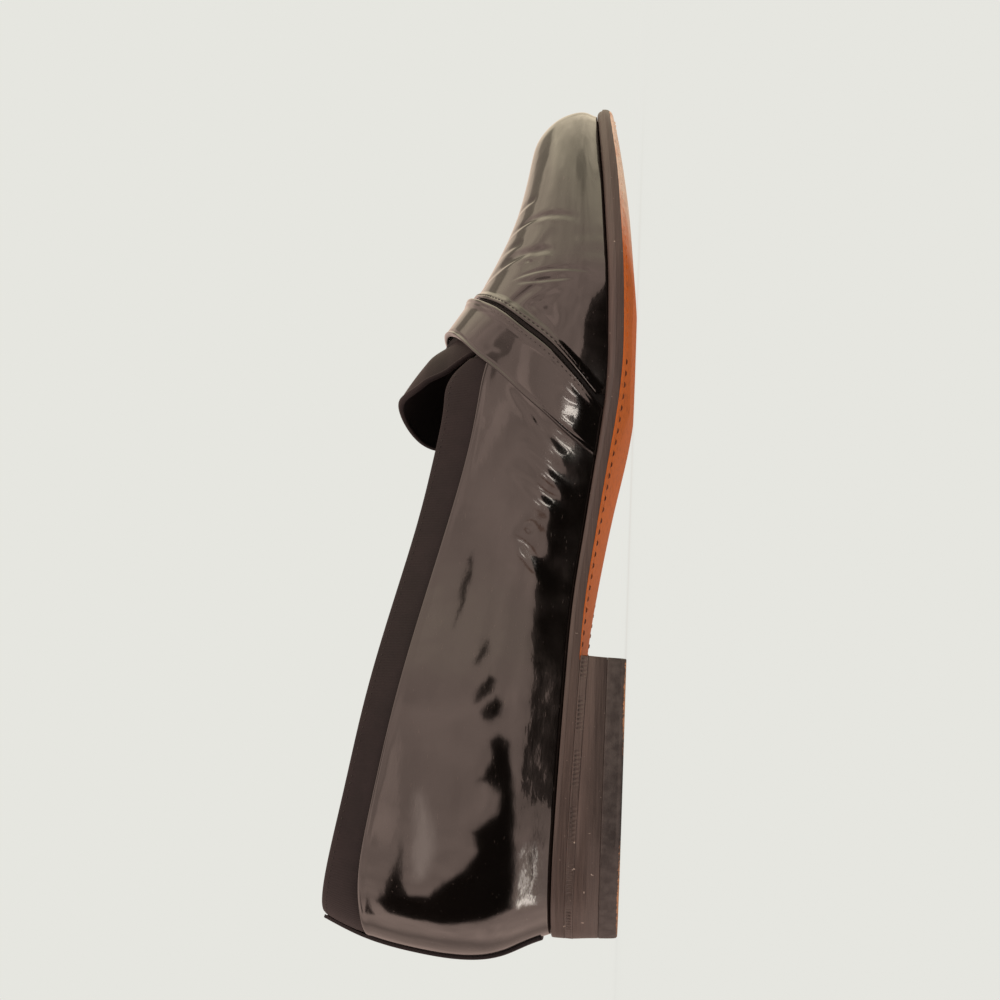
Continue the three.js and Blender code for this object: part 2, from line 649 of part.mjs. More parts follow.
const PATENT = { color: 0x2a2522, roughness: 0.08, metalness: 0 };
const pieces = {
  outsole: {
    geometry: plate(0, underside, (x, y) => undersideCurve(x, y) + OUTSOLE_THICKNESS),
    look: { color: 0xb5571f, roughness: 0.55 },
  },
  welt: { geometry: ring(weltSection), look: { color: 0x3a3331, roughness: 0.45 } },
  heel_rand: {
    geometry: heelLayer(0, 0, randFoot, breast, true),
    look: { color: 0x4a4341, roughness: 0.5 },
  },
  heel_stack: {
    geometry: heelLayer(HEEL_TAPER, EDGE_ROUND, () => TOP_PIECE_THICKNESS + FIT, stackTop),
    look: { color: 0x4a4341, roughness: 0.4 },
  },
  heel_top_piece: {
    geometry: heelLayer(
      HEEL_TAPER + TOP_PIECE_TAPER,
      HEEL_TAPER - TOP_PIECE_TAPER,
      () => 0,
      () => TOP_PIECE_THICKNESS,
    ),
    look: { color: 0x3b3433, roughness: 0.7 },
  },
  insole: {
    geometry: insole(),
    look: { color: 0x1c1818, roughness: 0.8 },
  },
  upper: { geometry: makeUpper(), look: PATENT },
  instep_strap: { geometry: makeStrap(), look: PATENT },
  collar_binding: { geometry: makeBinding(), look: { color: 0x3a2f30, roughness: 0.85 } },
  tongue: { geometry: makeTongue(), look: { color: 0x3a2f30, roughness: 0.85 } },
  back_strip: { geometry: makeBackStrip(), look: PATENT },
};

function insole() {
  const base = OUTSOLE_THICKNESS + FIT;
  const inset = WELT_PROJECTION + UPPER_WALL + FIT;
  return plate(inset, (x, y) => undersideCurve(x, y) + base,
    (x, y) => undersideCurve(x, y) + base + INSOLE_THICKNESS, ACROSS / 2);
}

const loafer = new THREE.Group();
for (const [name, piece] of Object.entries(pieces)) {
  const mesh = new THREE.Mesh(piece.geometry, new THREE.MeshStandardMaterial(piece.look));
  mesh.name = name;
  loafer.add(mesh);
}

// The origin is under the middle of the shoe, on the floor.
const box = new THREE.Box3().setFromObject(loafer);
loafer.position.set(-(box.min.x + box.max.x) / 2, -(box.min.y + box.max.y) / 2, -box.min.z);

export default loafer;
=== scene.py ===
# %% [markdown]
# # A patent leather loafer
# One dress loafer, a left shoe, stands empty on its heel and forefoot. The CAD model fixes where
# everything is. This script dresses it: smooth patent leather with its folds, a ribbed collar
# band, stitches, a blackened sole edge, tan sole leather and a stacked heel.

import bmesh
import bpy
import numpy as np
from mathutils import Matrix, Vector


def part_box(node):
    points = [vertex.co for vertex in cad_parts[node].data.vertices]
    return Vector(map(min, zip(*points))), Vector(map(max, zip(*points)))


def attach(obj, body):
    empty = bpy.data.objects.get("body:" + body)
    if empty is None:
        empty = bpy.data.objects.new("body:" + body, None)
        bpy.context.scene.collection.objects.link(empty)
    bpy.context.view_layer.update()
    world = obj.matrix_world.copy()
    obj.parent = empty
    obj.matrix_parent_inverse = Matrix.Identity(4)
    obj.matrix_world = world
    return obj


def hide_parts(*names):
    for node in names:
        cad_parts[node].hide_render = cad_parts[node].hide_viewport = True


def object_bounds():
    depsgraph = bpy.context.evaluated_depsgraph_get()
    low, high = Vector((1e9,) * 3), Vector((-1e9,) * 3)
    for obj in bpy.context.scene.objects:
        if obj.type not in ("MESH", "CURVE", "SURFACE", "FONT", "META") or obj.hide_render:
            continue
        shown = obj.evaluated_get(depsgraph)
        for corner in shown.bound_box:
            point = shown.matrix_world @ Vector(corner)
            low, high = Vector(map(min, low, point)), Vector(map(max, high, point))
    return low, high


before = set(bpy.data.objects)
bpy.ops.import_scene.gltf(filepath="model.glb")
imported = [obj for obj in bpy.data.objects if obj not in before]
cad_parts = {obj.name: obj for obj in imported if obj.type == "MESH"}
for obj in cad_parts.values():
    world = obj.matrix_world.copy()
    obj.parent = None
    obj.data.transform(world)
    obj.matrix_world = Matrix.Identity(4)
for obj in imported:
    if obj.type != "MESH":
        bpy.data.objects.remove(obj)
cad_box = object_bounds()
MM = 0.001
print("CAD box in mm:", [[round(c / MM, 1) for c in corner] for corner in cad_box])

# %% [markdown]
# ## The sizes of the shoe
# A shoe is built over a last, a solid foot form. If the scene works out the same last as the CAD
# model, every finer surface lies exactly where its solid is. So the sizes and short tables of the
# last are repeated here. Lengths are in millimetres, and the tables hold shares of them.

# %% Sizes and tables
HALF_TURN = np.pi
TOP = np.pi / 2
LENGTH = (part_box("outsole")[1].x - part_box("outsole")[0].x) / MM
BALL_WIDTH = 95
INSTEP_HEIGHT = 64
BACK_HEIGHT = 92
HEEL_HEIGHT = 16
TOE_SPRING = 12.5
EDGE_RISE = 4.6
COUNTER_BULGE = 9
UPPER_WALL = 2.2
OUTSOLE_THICKNESS = 2.6
WELT_THICKNESS = 1.1
WELT_PROJECTION = 2.8
WELT_LIFT = 1.8
INSOLE_THICKNESS = 2.9
TONGUE_WALL = 1.6
STRAP_WALL = 1.4
ROLL_HEIGHT = 1.1
GROOVE_WIDTH = 1.4
BINDING_WIDTH = 10
BACK_STRIP_WIDTH = 10
TOP_PIECE_THICKNESS = 5.8
RAND_THICKNESS = 2.5
HEEL_LENGTH = 84
BREAST_HOLLOW = 3
HEEL_TAPER = 0.9
THROAT_LAP = 4.5
TONGUE_REACH = 0.725
TONGUE_LEAN = 0.22
TOE_TIP_SIDE = -0.075
FIT = 0.3
BAND = OUTSOLE_THICKNESS + FIT + WELT_THICKNESS


def table(columns, rows):
    """Short rows under named columns, as one array for each name."""
    return dict(zip(columns.split(), np.array(rows, float).T))


OUTLINE = table("along medial lateral", [
    (0.03, 0.195, 0.195), (0.08, 0.287, 0.287), (0.15, 0.328, 0.338), (0.22, 0.330, 0.348),
    (0.30, 0.295, 0.358), (0.40, 0.260, 0.374), (0.50, 0.290, 0.405), (0.58, 0.368, 0.451),
    (0.64, 0.446, 0.490), (0.70, 0.492, 0.500), (0.76, 0.490, 0.476), (0.82, 0.466, 0.425),
    (0.88, 0.424, 0.350), (0.93, 0.370, 0.262), (0.97, 0.295, 0.160), (0.99, 0.205, 0.055),
])
SOLE_PROFILE = table("along heel spring rise", [
    (0.00, 1.000, 0.00, 0.00), (0.10, 0.975, 0.00, 0.00), (0.20, 0.925, 0.00, 0.00),
    (0.29, 0.870, 0.00, 0.03), (0.35, 0.745, 0.00, 0.28), (0.42, 0.560, 0.00, 0.45),
    (0.50, 0.310, 0.00, 0.65), (0.56, 0.095, 0.00, 0.85), (0.61, -0.025, 0.00, 0.98),
    (0.66, -0.050, 0.00, 1.08), (0.72, -0.015, 0.01, 1.10), (0.78, 0.000, 0.12, 1.05),
    (0.84, 0.000, 0.26, 1.00), (0.90, 0.000, 0.46, 0.85), (0.95, 0.000, 0.67, 0.60),
    (1.00, 0.000, 1.00, 0.00),
])
LAST = table("along comb side height square swell welt lift", [
    (0.00, 0.130, 0.00, 1.540, 0.30, 1.00, 0.35, 0.00),
    (0.08, 0.155, 0.00, 1.530, 0.32, 0.72, 0.32, 0.00),
    (0.15, 0.190, 0.00, 1.510, 0.34, 0.52, 0.30, 0.00),
    (0.22, 0.235, 0.00, 1.475, 0.36, 0.46, 0.30, 0.00),
    (0.30, 0.305, 0.00, 1.415, 0.39, 0.44, 0.35, 0.03),
    (0.40, 0.400, 0.00, 1.350, 0.50, 0.44, 0.42, 0.10),
    (0.50, 0.500, 0.01, 1.315, 0.75, 0.38, 0.60, 0.35),
    (0.56, 0.560, 0.01, 1.325, 0.94, 0.32, 0.82, 0.65),
    (0.60, 0.600, 0.01, 1.285, 1.02, 0.28, 0.92, 0.85),
    (0.64, 0.640, 0.00, 1.180, 1.06, 0.26, 1.00, 1.00),
    (0.68, 0.680, -0.01, 1.030, 1.05, 0.25, 1.00, 1.00),
    (0.74, 0.740, -0.02, 0.842, 0.98, 0.25, 1.00, 1.00),
    (0.80, 0.795, -0.04, 0.688, 0.84, 0.28, 1.00, 1.00),
    (0.88, 0.850, -0.06, 0.566, 0.64, 0.36, 1.00, 1.00),
    (0.94, 0.885, -0.075, 0.509, 0.52, 0.30, 0.95, 0.95),
    (1.00, 0.900, -0.08, 0.491, 0.46, 0.20, 0.90, 0.90),
])
SWELL = table("up out", [
    (-0.10, -0.40), (0.000, 0.00), (0.075, 0.33), (0.140, 0.68), (0.260, 0.98),
    (0.420, 0.97), (0.600, 0.76), (0.740, 0.40), (0.880, 0.10), (1.000, 0.00),
])
TOPLINE = table("along height binding", [
    (-0.060, 1.020, 1.55), (0.000, 1.000, 1.42), (0.035, 0.972, 1.16), (0.100, 0.925, 0.94),
    (0.180, 0.887, 0.92), (0.270, 0.850, 0.96), (0.360, 0.804, 0.99), (0.450, 0.754, 1.06),
    (0.520, 0.721, 1.16), (0.575, 0.702, 1.22), (0.600, 0.692, 1.24), (0.613, 0.660, 1.04),
    (0.624, 0.610, 0.66),
])
STRAP = table("height back groove", [
    (0.06, 0.488, 0.546), (0.21, 0.514, 0.578), (0.33, 0.531, 0.605), (0.45, 0.553, 0.630),
    (0.58, 0.577, 0.653), (0.70, 0.601, 0.677), (0.83, 0.625, 0.703), (0.97, 0.659, 0.742),
    (1.12, 0.690, 0.785),
])
TONGUE_EDGE = table("along height", [
    (0.626, 0.60), (0.613, 0.88), (0.607, 1.00), (0.599, 1.10), (0.593, 1.18),
    (0.593, 1.27), (0.600, 1.34), (0.612, 1.42),
])

# %% [markdown]
# ## The last as a function
# A natural cubic spline through each column gives smooth curves. A *turn* runs round the sole's
# outline, from the heel's back (0) along the inner side to the toe (half a turn) and back along
# the outer side. A *climb* runs up from the feather line, where the upper meets the sole (0), to
# the comb over the middle of the foot (a quarter turn). Every surface of the upper is then a
# function of these two numbers, worked out for whole arrays at once.


# %% The last
def spline(xs, ys):
    """Natural cubic spline: cubic between the points, with equal slopes and bends where the
    pieces meet and no bend at the two ends."""
    count = len(xs)
    width = np.diff(xs)
    slope = np.diff(ys) / width
    system = np.eye(count)
    right = np.zeros(count)
    inner = np.arange(1, count - 1)
    system[inner, inner - 1] = width[:-1]
    system[inner, inner] = 2 * (width[:-1] + width[1:])
    system[inner, inner + 1] = width[1:]
    right[inner] = 6 * np.diff(slope)
    bend = np.linalg.solve(system, right)

    def at(x):
        x = np.asarray(x, float)
        i = np.clip(np.searchsorted(xs, x, side="right") - 1, 0, count - 2)
        a = (xs[i + 1] - x) / width[i]
        b = (x - xs[i]) / width[i]
        curl = ((a**3 - a) * bend[i] + (b**3 - b) * bend[i + 1]) * width[i] ** 2 / 6
        return a * ys[i] + b * ys[i + 1] + curl

    return at


def turn_of(along):
    """Share of the length to turn: along = (1 - cos turn) / 2."""
    return np.arccos(np.clip(1 - 2 * np.asarray(along, float), -1, 1))


def along_of(turn):
    return (1 - np.cos(turn)) / 2


def both_sides(rows, column):
    """A column that is the same on both sides, mirrored past the heel's back and the toe."""
    turns = turn_of(rows["along"])
    values = rows[column]
    xs = np.concatenate([-turns[3:0:-1], turns, 2 * HALF_TURN - turns[-2:-5:-1]])
    ys = np.concatenate([values[3:0:-1], values, values[-2:-5:-1]])
    curve = spline(xs, ys)
    return lambda turn: curve(np.arccos(np.clip(np.cos(turn), -1, 1)))


def outline_curve():
    turns = turn_of(OUTLINE["along"])
    loop_turns = np.concatenate([[0], turns, [HALF_TURN], (2 * HALF_TURN - turns)[::-1]])
    loop_sides = np.concatenate([[0], -OUTLINE["medial"], [TOE_TIP_SIDE], OUTLINE["lateral"][::-1]])
    xs = np.concatenate([loop_turns[-4:] - 2 * HALF_TURN, loop_turns, loop_turns[:4] + 2 * HALF_TURN])
    ys = np.concatenate([loop_sides[-4:], loop_sides, loop_sides[:4]])
    curve = spline(xs, ys)
    return lambda turn: BALL_WIDTH * curve(np.mod(turn, 2 * HALF_TURN))


outline_side = outline_curve()
profile = {name: both_sides(SOLE_PROFILE, name) for name in ("heel", "spring", "rise")}
last = {name: both_sides(LAST, name)
        for name in ("comb", "side", "height", "square", "swell", "welt", "lift")}
swell_at = spline(SWELL["up"], SWELL["out"])


def outline_point(turn, inset=0.0):
    """Point of the sole's outline in plan, moved in by an inset along its normal."""
    step = 1e-3
    turn = np.asarray(turn, float)
    ahead = np.stack([LENGTH * along_of(turn + step), outline_side(turn + step)], -1)
    behind = np.stack([LENGTH * along_of(turn - step), outline_side(turn - step)], -1)
    tangent = ahead - behind
    tangent /= np.linalg.norm(tangent, axis=-1, keepdims=True)
    inward = np.stack([-tangent[..., 1], tangent[..., 0]], -1)
    here = np.stack([LENGTH * along_of(turn), outline_side(turn)], -1)
    return here + inward * np.asarray(inset, float)[..., None]


def underside(x, y):
    """Height of the sole's underside: the centre line's height, plus the rise of the edges with
    the square of the share of the half width."""
    turn = turn_of(x / LENGTH)
    medial = outline_side(turn)
    lateral = outline_side(-turn)
    half = np.maximum((lateral - medial) / 2, 0.01)
    share = np.minimum(1, np.abs(y - (lateral + medial) / 2) / half)
    centre = HEEL_HEIGHT * profile["heel"](turn) + TOE_SPRING * profile["spring"](turn)
    return centre + EDGE_RISE * profile["rise"](turn) * share**2


def last_point(turn, climb):
    """Point of the last. In plan it moves straight from the feather line to the comb by
    cos(climb) to the power of the squareness, it rises by sin(climb), and the swell of the
    counter pushes it out along the outline's normal."""
    turn, climb = np.broadcast_arrays(np.asarray(turn, float), np.asarray(climb, float))
    foot = outline_point(turn, WELT_PROJECTION * last["welt"](turn))
    foot_height = underside(foot[..., 0], foot[..., 1]) + BAND + WELT_LIFT * last["lift"](turn) + FIT
    comb = np.stack([LENGTH * last["comb"](turn), BALL_WIDTH * last["side"](turn)], -1)
    comb_turn = turn_of(last["comb"](turn))
    sole = HEEL_HEIGHT * profile["heel"](comb_turn) + TOE_SPRING * profile["spring"](comb_turn)
    comb_height = sole + BAND + INSTEP_HEIGHT * last["height"](turn)
    out = np.maximum(np.cos(climb), 0) ** last["square"](turn)
    up = np.sin(climb)
    normal = outline_point(turn, -1.0) - outline_point(turn, 0.0)
    swell = COUNTER_BULGE * last["swell"](turn) * swell_at(up)
    plan = comb + (foot - comb) * out[..., None] + normal * swell[..., None]
    height = foot_height + (comb_height - foot_height) * up
    return np.concatenate([plan, height[..., None]], axis=-1)


def last_normal(turn, climb):
    """Outward normal of the last: the cross product of its two directions. Close to the comb the
    normals of the two sides are brought together, so that an offset stays smooth across it."""

    def one_side(turn, climb):
        step = 0.02
        high = np.minimum(climb + step, TOP - step)
        low = np.maximum(high - 2 * step, 0)
        middle = (low + high) / 2
        along = last_point(turn + step, middle) - last_point(turn - step, middle)
        up = last_point(turn, high) - last_point(turn, low)
        cross = np.cross(along, up)
        return cross / np.linalg.norm(cross, axis=-1, keepdims=True)

    turn, climb = np.broadcast_arrays(np.asarray(turn, float), np.asarray(climb, float))
    here = one_side(turn, climb)
    there = one_side(-turn, climb)
    near = np.clip(1 - (TOP - climb) / 0.12, 0, 1)[..., None] / 2
    both = here * (1 - near) + there * near
    return both / np.linalg.norm(both, axis=-1, keepdims=True)


origin_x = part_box("outsole")[0].x / MM
cad_turns = 2 * HALF_TURN * np.arange(72) / 72
origin_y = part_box("outsole")[0].y / MM - outline_side(cad_turns).min()
ORIGIN = np.array([origin_x, origin_y, 0.0])
print("the last's heel point in the frame, mm:", ORIGIN.round(2))

# %% [markdown]
# ## Lines in the side view
# A shoemaker draws the topline, the strap and the tongue on the side of the last. The CAD model
# cuts its solids along such lines. Here each line is a smooth curve, and a search finds where
# each meridian of the last crosses it, so that rows of the finer grids follow the edge exactly.


# %% Side-view lines
topline = spline(LENGTH * TOPLINE["along"], BACK_HEIGHT * TOPLINE["height"])
binding_depth = spline(LENGTH * TOPLINE["along"], BINDING_WIDTH * TOPLINE["binding"])
strap_back = spline(INSTEP_HEIGHT * STRAP["height"], LENGTH * STRAP["back"])
groove = spline(INSTEP_HEIGHT * STRAP["height"], LENGTH * STRAP["groove"])
tongue_edge = spline(INSTEP_HEIGHT * TONGUE_EDGE["height"], LENGTH * TONGUE_EDGE["along"])


def turn_where(line, climb, side, first=0.42, final=0.86, samples=900):
    """Turn at which each climb of the last crosses a side-view line x = line(point)."""
    turns = np.linspace(turn_of(first), turn_of(final), samples)
    points = last_point(side * turns[None, :], np.asarray(climb, float)[:, None])
    behind = line(points) - points[..., 0]
    k = samples - 2 - np.argmax(behind[:, -2::-1] > 0, axis=1)
    rows = np.arange(len(k))
    share = behind[rows, k] / (behind[rows, k] - behind[rows, k + 1])
    return turns[k] + np.clip(share, 0, 1) * (turns[k + 1] - turns[k])


def climb_where(past, turn, samples=500):
    """First climb at which past(point) turns positive on each meridian, or the comb."""
    climbs = np.linspace(0, TOP, samples)
    points = last_point(np.asarray(turn, float)[:, None], climbs[None, :])
    over = past(points)
    reached = over > 0
    k = np.clip(np.argmax(reached, axis=1), 1, samples - 1)
    rows = np.arange(len(k))
    share = over[rows, k - 1] / (over[rows, k - 1] - over[rows, k])
    crossing = climbs[k - 1] + np.clip(share, 0, 1) * (climbs[k] - climbs[k - 1])
    crossing = np.where(reached[:, 0], 0.0, crossing)
    return np.where(reached.any(axis=1), crossing, TOP)


# %% [markdown]
# ## From arrays to meshes
# A grid of points becomes a mesh of quads. A closed profile carried round a path gives a solid
# with a wall of its own, which is what leather is. Points that fall on each other are merged, and
# the normals of each closed solid are turned outwards.


# %% Mesh helpers
def grid_quads(rows, columns, close_rows, close_columns):
    i = np.arange(rows if close_rows else rows - 1)
    j = np.arange(columns if close_columns else columns - 1)
    i, j = (a.ravel() for a in np.meshgrid(i, j, indexing="ij"))
    up = (i + 1) % rows
    right = (j + 1) % columns
    return np.stack([i * columns + j, i * columns + right, up * columns + right, up * columns + j], -1)


def build_piece(name, points, faces, material, nodes=(), values=None, smooth=True):
    """Makes one piece from points in the last's frame (mm), merges its doubles, turns its faces
    outwards and puts it in the frame. Values are extra arrays kept on the points."""
    mesh = bpy.data.meshes.new(name)
    placed = (np.asarray(points, float).reshape(-1, 3) + ORIGIN) * MM
    mesh.from_pydata(placed.tolist(), [], [list(map(int, f)) for f in faces])
    for key, value in (values or {}).items():
        kind = "FLOAT_VECTOR" if np.ndim(value) > 1 and np.shape(value)[-1] == 3 else "FLOAT"
        attribute = mesh.attributes.new(key, kind, "POINT")
        attribute.data.foreach_set("vector" if kind == "FLOAT_VECTOR" else "value",
                                   np.asarray(value, np.float32).ravel())
    work = bmesh.new()
    work.from_mesh(mesh)
    bmesh.ops.remove_doubles(work, verts=work.verts, dist=2e-6)
    bmesh.ops.dissolve_degenerate(work, edges=work.edges, dist=1e-7)
    bmesh.ops.recalc_face_normals(work, faces=work.faces)
    work.to_mesh(mesh)
    work.free()
    mesh.shade_smooth() if smooth else mesh.shade_flat()
    mesh.materials.append(material)
    piece = bpy.data.objects.new(name, mesh)
    bpy.context.scene.collection.objects.link(piece)
    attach(piece, "root")
    if nodes:
        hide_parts(*nodes)
    print(f"{name}: {len(mesh.polygons)} faces")
    return piece


def band(name, points, material, nodes=(), values=None, close_columns=False):
    """A closed profile (rows) carried along a path (columns). Open ends get a cap."""
    rows, columns = points.shape[:2]
    faces = grid_quads(rows, columns, True, close_columns).tolist()
    if not close_columns:
        faces.append(np.arange(rows)[::-1] * columns)
        faces.append(np.arange(rows) * columns + columns - 1)
    return build_piece(name, points, faces, material, nodes, values)

# %% [markdown]
# ## Materials, first part
# One function turns sRGB hex values, as a colour picker gives them, into the linear values that
# the shader needs. Another adds a node with its settings and links.


# %% Material helpers
def linear(code):
    """sRGB hex to linear RGBA: c / 12.92 below 0.04045, else ((c + 0.055) / 1.055) to 2.4."""
    c = np.array([int(code[k:k + 2], 16) for k in (1, 3, 5)]) / 255
    c = np.where(c <= 0.04045, c / 12.92, ((c + 0.055) / 1.055) ** 2.4)
    return (*c.tolist(), 1.0)


def new_material(name, **settings):
    material = bpy.data.materials.new(name)
    material.use_nodes = True
    shader = material.node_tree.nodes["Principled BSDF"]
    for key, value in settings.items():
        shader.inputs[key.replace("_", " ").title()
                      .replace("Ior", "IOR")].default_value = value
    return material, shader


def add_node(material, kind, settings=None, links=None):
    """Adds one node. Settings name its attributes or inputs; links name an input and the socket
    that feeds it."""
    node = material.node_tree.nodes.new(kind)
    for key, value in (settings or {}).items():
        if isinstance(key, int) or key in node.inputs:
            node.inputs[key].default_value = value
        else:
            setattr(node, key, value)
    for key, socket in (links or {}).items():
        material.node_tree.links.new(socket, node.inputs[key])
    return node


def link(material, socket, target):
    material.node_tree.links.new(socket, target)


def object_place(material):
    return add_node(material, "ShaderNodeTexCoord").outputs["Object"]


def add_bump(material, shader, height, strength, distance):
    bump = add_node(material, "ShaderNodeBump", {"Strength": strength, "Distance": distance},
                    {"Height": height})
    link(material, bump.outputs["Normal"], shader.inputs["Normal"])
    return bump


# %% [markdown]
# ## Patent leather
# Patent leather is calf with a thick, clear, black-pigmented coat. The base colour is nearly
# black, so all that the eye sees is the room in the coat. A second, duller reflection comes from
# the leather below. The coat isn't flat: it has a soft orange peel some 9 mm wide and a faint
# grain under a millimetre, both far lower than the folds. Wear shows as hair scratches and
# dusty, less glossy clouds. Fine drawn wrinkles, 2 mm wide and slanting as the side is pulled,
# fray the edges of the reflections.

# %% Patent leather
PEEL_WIDTH = 9.0
GRAIN_WIDTH = 0.7
WRINKLE_WIDTH = 2.2
SCRATCH_LENGTH = 6.0


def per_metre(size):
    """Scale of a pattern in Object coordinates, from the width of one feature in mm."""
    return 1 / (size * MM)


patent, patent_shader = new_material(
    "patent_leather", base_color=linear("#0B0908"), roughness=0.16, ior=1.5,
    coat_weight=1.0, coat_roughness=0.035)
place = object_place(patent)
peel = add_node(patent, "ShaderNodeTexNoise", {"Scale": per_metre(PEEL_WIDTH), "Detail": 1.0},
                {"Vector": place})
grain = add_node(patent, "ShaderNodeTexNoise", {"Scale": per_metre(GRAIN_WIDTH), "Detail": 2.0},
                 {"Vector": place})
drawn = add_node(patent, "ShaderNodeMapping", {"Rotation": (0.0, 0.75, 0.0),
                 "Scale": (0.3, 1.0, 1.0)}, {"Vector": place})
wrinkle = add_node(patent, "ShaderNodeTexNoise", {"Scale": per_metre(WRINKLE_WIDTH), "Detail": 3.0},
                   {"Vector": drawn.outputs[0]})
both = add_node(patent, "ShaderNodeMath", {"operation": "MULTIPLY_ADD", 1: 0.03},
                {0: grain.outputs[0], 2: peel.outputs[0]})
both = add_node(patent, "ShaderNodeMath", {"operation": "MULTIPLY_ADD", 1: 0.14},
                {0: wrinkle.outputs[0], 2: both.outputs[0]})
bump = add_bump(patent, patent_shader, both.outputs[0], 0.5, 0.00025)
link(patent, bump.outputs["Normal"], patent_shader.inputs["Coat Normal"])
stretched = add_node(patent, "ShaderNodeMapping", {"Rotation": (0.3, 0.5, 0.2),
                     "Scale": (0.12, 1.0, 1.0)}, {"Vector": place})
scratch = add_node(patent, "ShaderNodeTexNoise",
                   {"Scale": per_metre(SCRATCH_LENGTH) * 12, "Detail": 2.0},
                   {"Vector": stretched.outputs[0]})
scratch = add_node(patent, "ShaderNodeMapRange", {"From Min": 0.69, "From Max": 0.76,
                   "To Min": 0.0, "To Max": 1.0}, {"Value": scratch.outputs[0]})
clouds = add_node(patent, "ShaderNodeTexNoise", {"Scale": per_metre(26), "Detail": 4.0,
                  "Roughness": 0.65}, {"Vector": place})
dust = add_node(patent, "ShaderNodeMapRange", {"From Min": 0.48, "From Max": 0.72,
                "To Min": 0.13, "To Max": 0.26}, {"Value": clouds.outputs[0]})
dull = add_node(patent, "ShaderNodeMath", {"operation": "MULTIPLY_ADD", 1: 0.2, "use_clamp": True},
                {0: scratch.outputs[0], 2: dust.outputs[0]})
link(patent, dull.outputs[0], patent_shader.inputs["Roughness"])
worn = add_node(patent, "ShaderNodeMix", {"data_type": "RGBA", 6: linear("#0B0908"),
                7: linear("#2A231F")}, {0: scratch.outputs[0]})
link(patent, worn.outputs[2], patent_shader.inputs["Base Color"])

# %% [markdown]
# ## Ribbed band, lining, thread
# The collar band and the tongue are grosgrain: a ribbed, silk-look weave with a soft lustre that
# photographs as a dark plum grey. Real ribs lie about 0.45 mm apart. Here they are 0.9 mm, which
# is as fine as the picture can show. They run across the band, so they follow the piece's own
# *flow* attribute: millimetres along and across the band. The lining is plain matt black leather
# and the thread is waxed black polyester.

# %% Grosgrain, velvet, lining and thread
RIB_PITCH = 0.9


def ribbed(name, colour, light_colour):
    material, shader = new_material(name, base_color=linear(colour), roughness=0.6,
                                    specular_ior_level=0.25, sheen_weight=0.08,
                                    sheen_roughness=0.45)
    shader.inputs["Sheen Tint"].default_value = linear("#C8B4B4")
    flow = add_node(material, "ShaderNodeAttribute", {"attribute_name": "flow"}).outputs["Vector"]
    split = add_node(material, "ShaderNodeSeparateXYZ", links={0: flow})
    turns = add_node(material, "ShaderNodeMath", {"operation": "MULTIPLY",
                     1: 2 * np.pi / RIB_PITCH}, {0: split.outputs[0]})
    rib = add_node(material, "ShaderNodeMath", {"operation": "SINE"}, {0: turns.outputs[0]})
    cloth = add_node(material, "ShaderNodeTexNoise", {"Scale": per_metre(0.6), "Detail": 3.0},
                     {"Vector": object_place(material)})
    relief = add_node(material, "ShaderNodeMath", {"operation": "MULTIPLY_ADD", 1: 0.5},
                      {0: rib.outputs[0], 2: cloth.outputs[0]})
    add_bump(material, shader, relief.outputs[0], 0.35, 0.0001)
    soil = add_node(material, "ShaderNodeTexNoise", {"Scale": per_metre(9), "Detail": 5.0,
                    "Roughness": 0.7}, {"Vector": object_place(material)})
    tone = add_node(material, "ShaderNodeMapRange", {"From Min": 0.4, "From Max": 0.75},
                    {"Value": soil.outputs[0]})
    colour = add_node(material, "ShaderNodeMix", {"data_type": "RGBA", 6: linear(colour),
                      7: linear(light_colour)}, {0: tone.outputs[0]})
    inside = add_node(material, "ShaderNodeAttribute", {"attribute_name": "inside"})
    colour = add_node(material, "ShaderNodeMix", {"data_type": "RGBA", 7: linear("#070606")},
                      {0: inside.outputs["Fac"], 6: colour.outputs[2]})
    link(material, colour.outputs[2], shader.inputs["Base Color"])
    return material


grosgrain = ribbed("grosgrain_band", "#191416", "#221B1D")


def plain(name, colour, light_colour, roughness, width, bump=0.15, **more):
    """A dull material with two close tones in clouds of one width (mm) and a fine grain."""
    material, shader = new_material(name, base_color=linear(colour), roughness=roughness, **more)
    place = object_place(material)
    clouds = add_node(material, "ShaderNodeTexNoise", {"Scale": per_metre(width), "Detail": 5.0},
                      {"Vector": place})
    tone = add_node(material, "ShaderNodeMapRange", {"From Min": 0.38, "From Max": 0.66},
                    {"Value": clouds.outputs[0]})
    colour = add_node(material, "ShaderNodeMix", {"data_type": "RGBA", 6: linear(colour),
                      7: linear(light_colour)}, {0: tone.outputs[0]})
    link(material, colour.outputs[2], shader.inputs["Base Color"])
    grain = add_node(material, "ShaderNodeTexNoise", {"Scale": per_metre(0.8), "Detail": 3.0},
                     {"Vector": place})
    add_bump(material, shader, grain.outputs[0], bump, 0.0002)
    return material


lining_leather = plain("black_lining_leather", "#0C0A0A", "#151211", 0.6, 8.0)
thread = plain("waxed_thread", "#120F0F", "#1E1A19", 0.45, 2.0)

# %% [markdown]
# ## Sole leather and its blackened edge
# The outsole is vegetable-tanned bend leather, orange-tan, paler towards the ball and the toe,
# partly from sanding and wear and partly as a painted highlight along the toe's bevel. Its edge and
# the welt's are inked black and burnished with wax to a satin shine, in long streaks along the
# edge; lighter streaks in its colour are partly painted sheen, and pale specks are painted glints.
# The ink ends in a slightly uneven line on the bevel: the *ink* attribute is 1 on the edge and
# falls to 0 on the bottom.

# %% Sole leather, edge and rubber
STREAK_LENGTH = 14.0
STREAK_WIDTH = 0.5


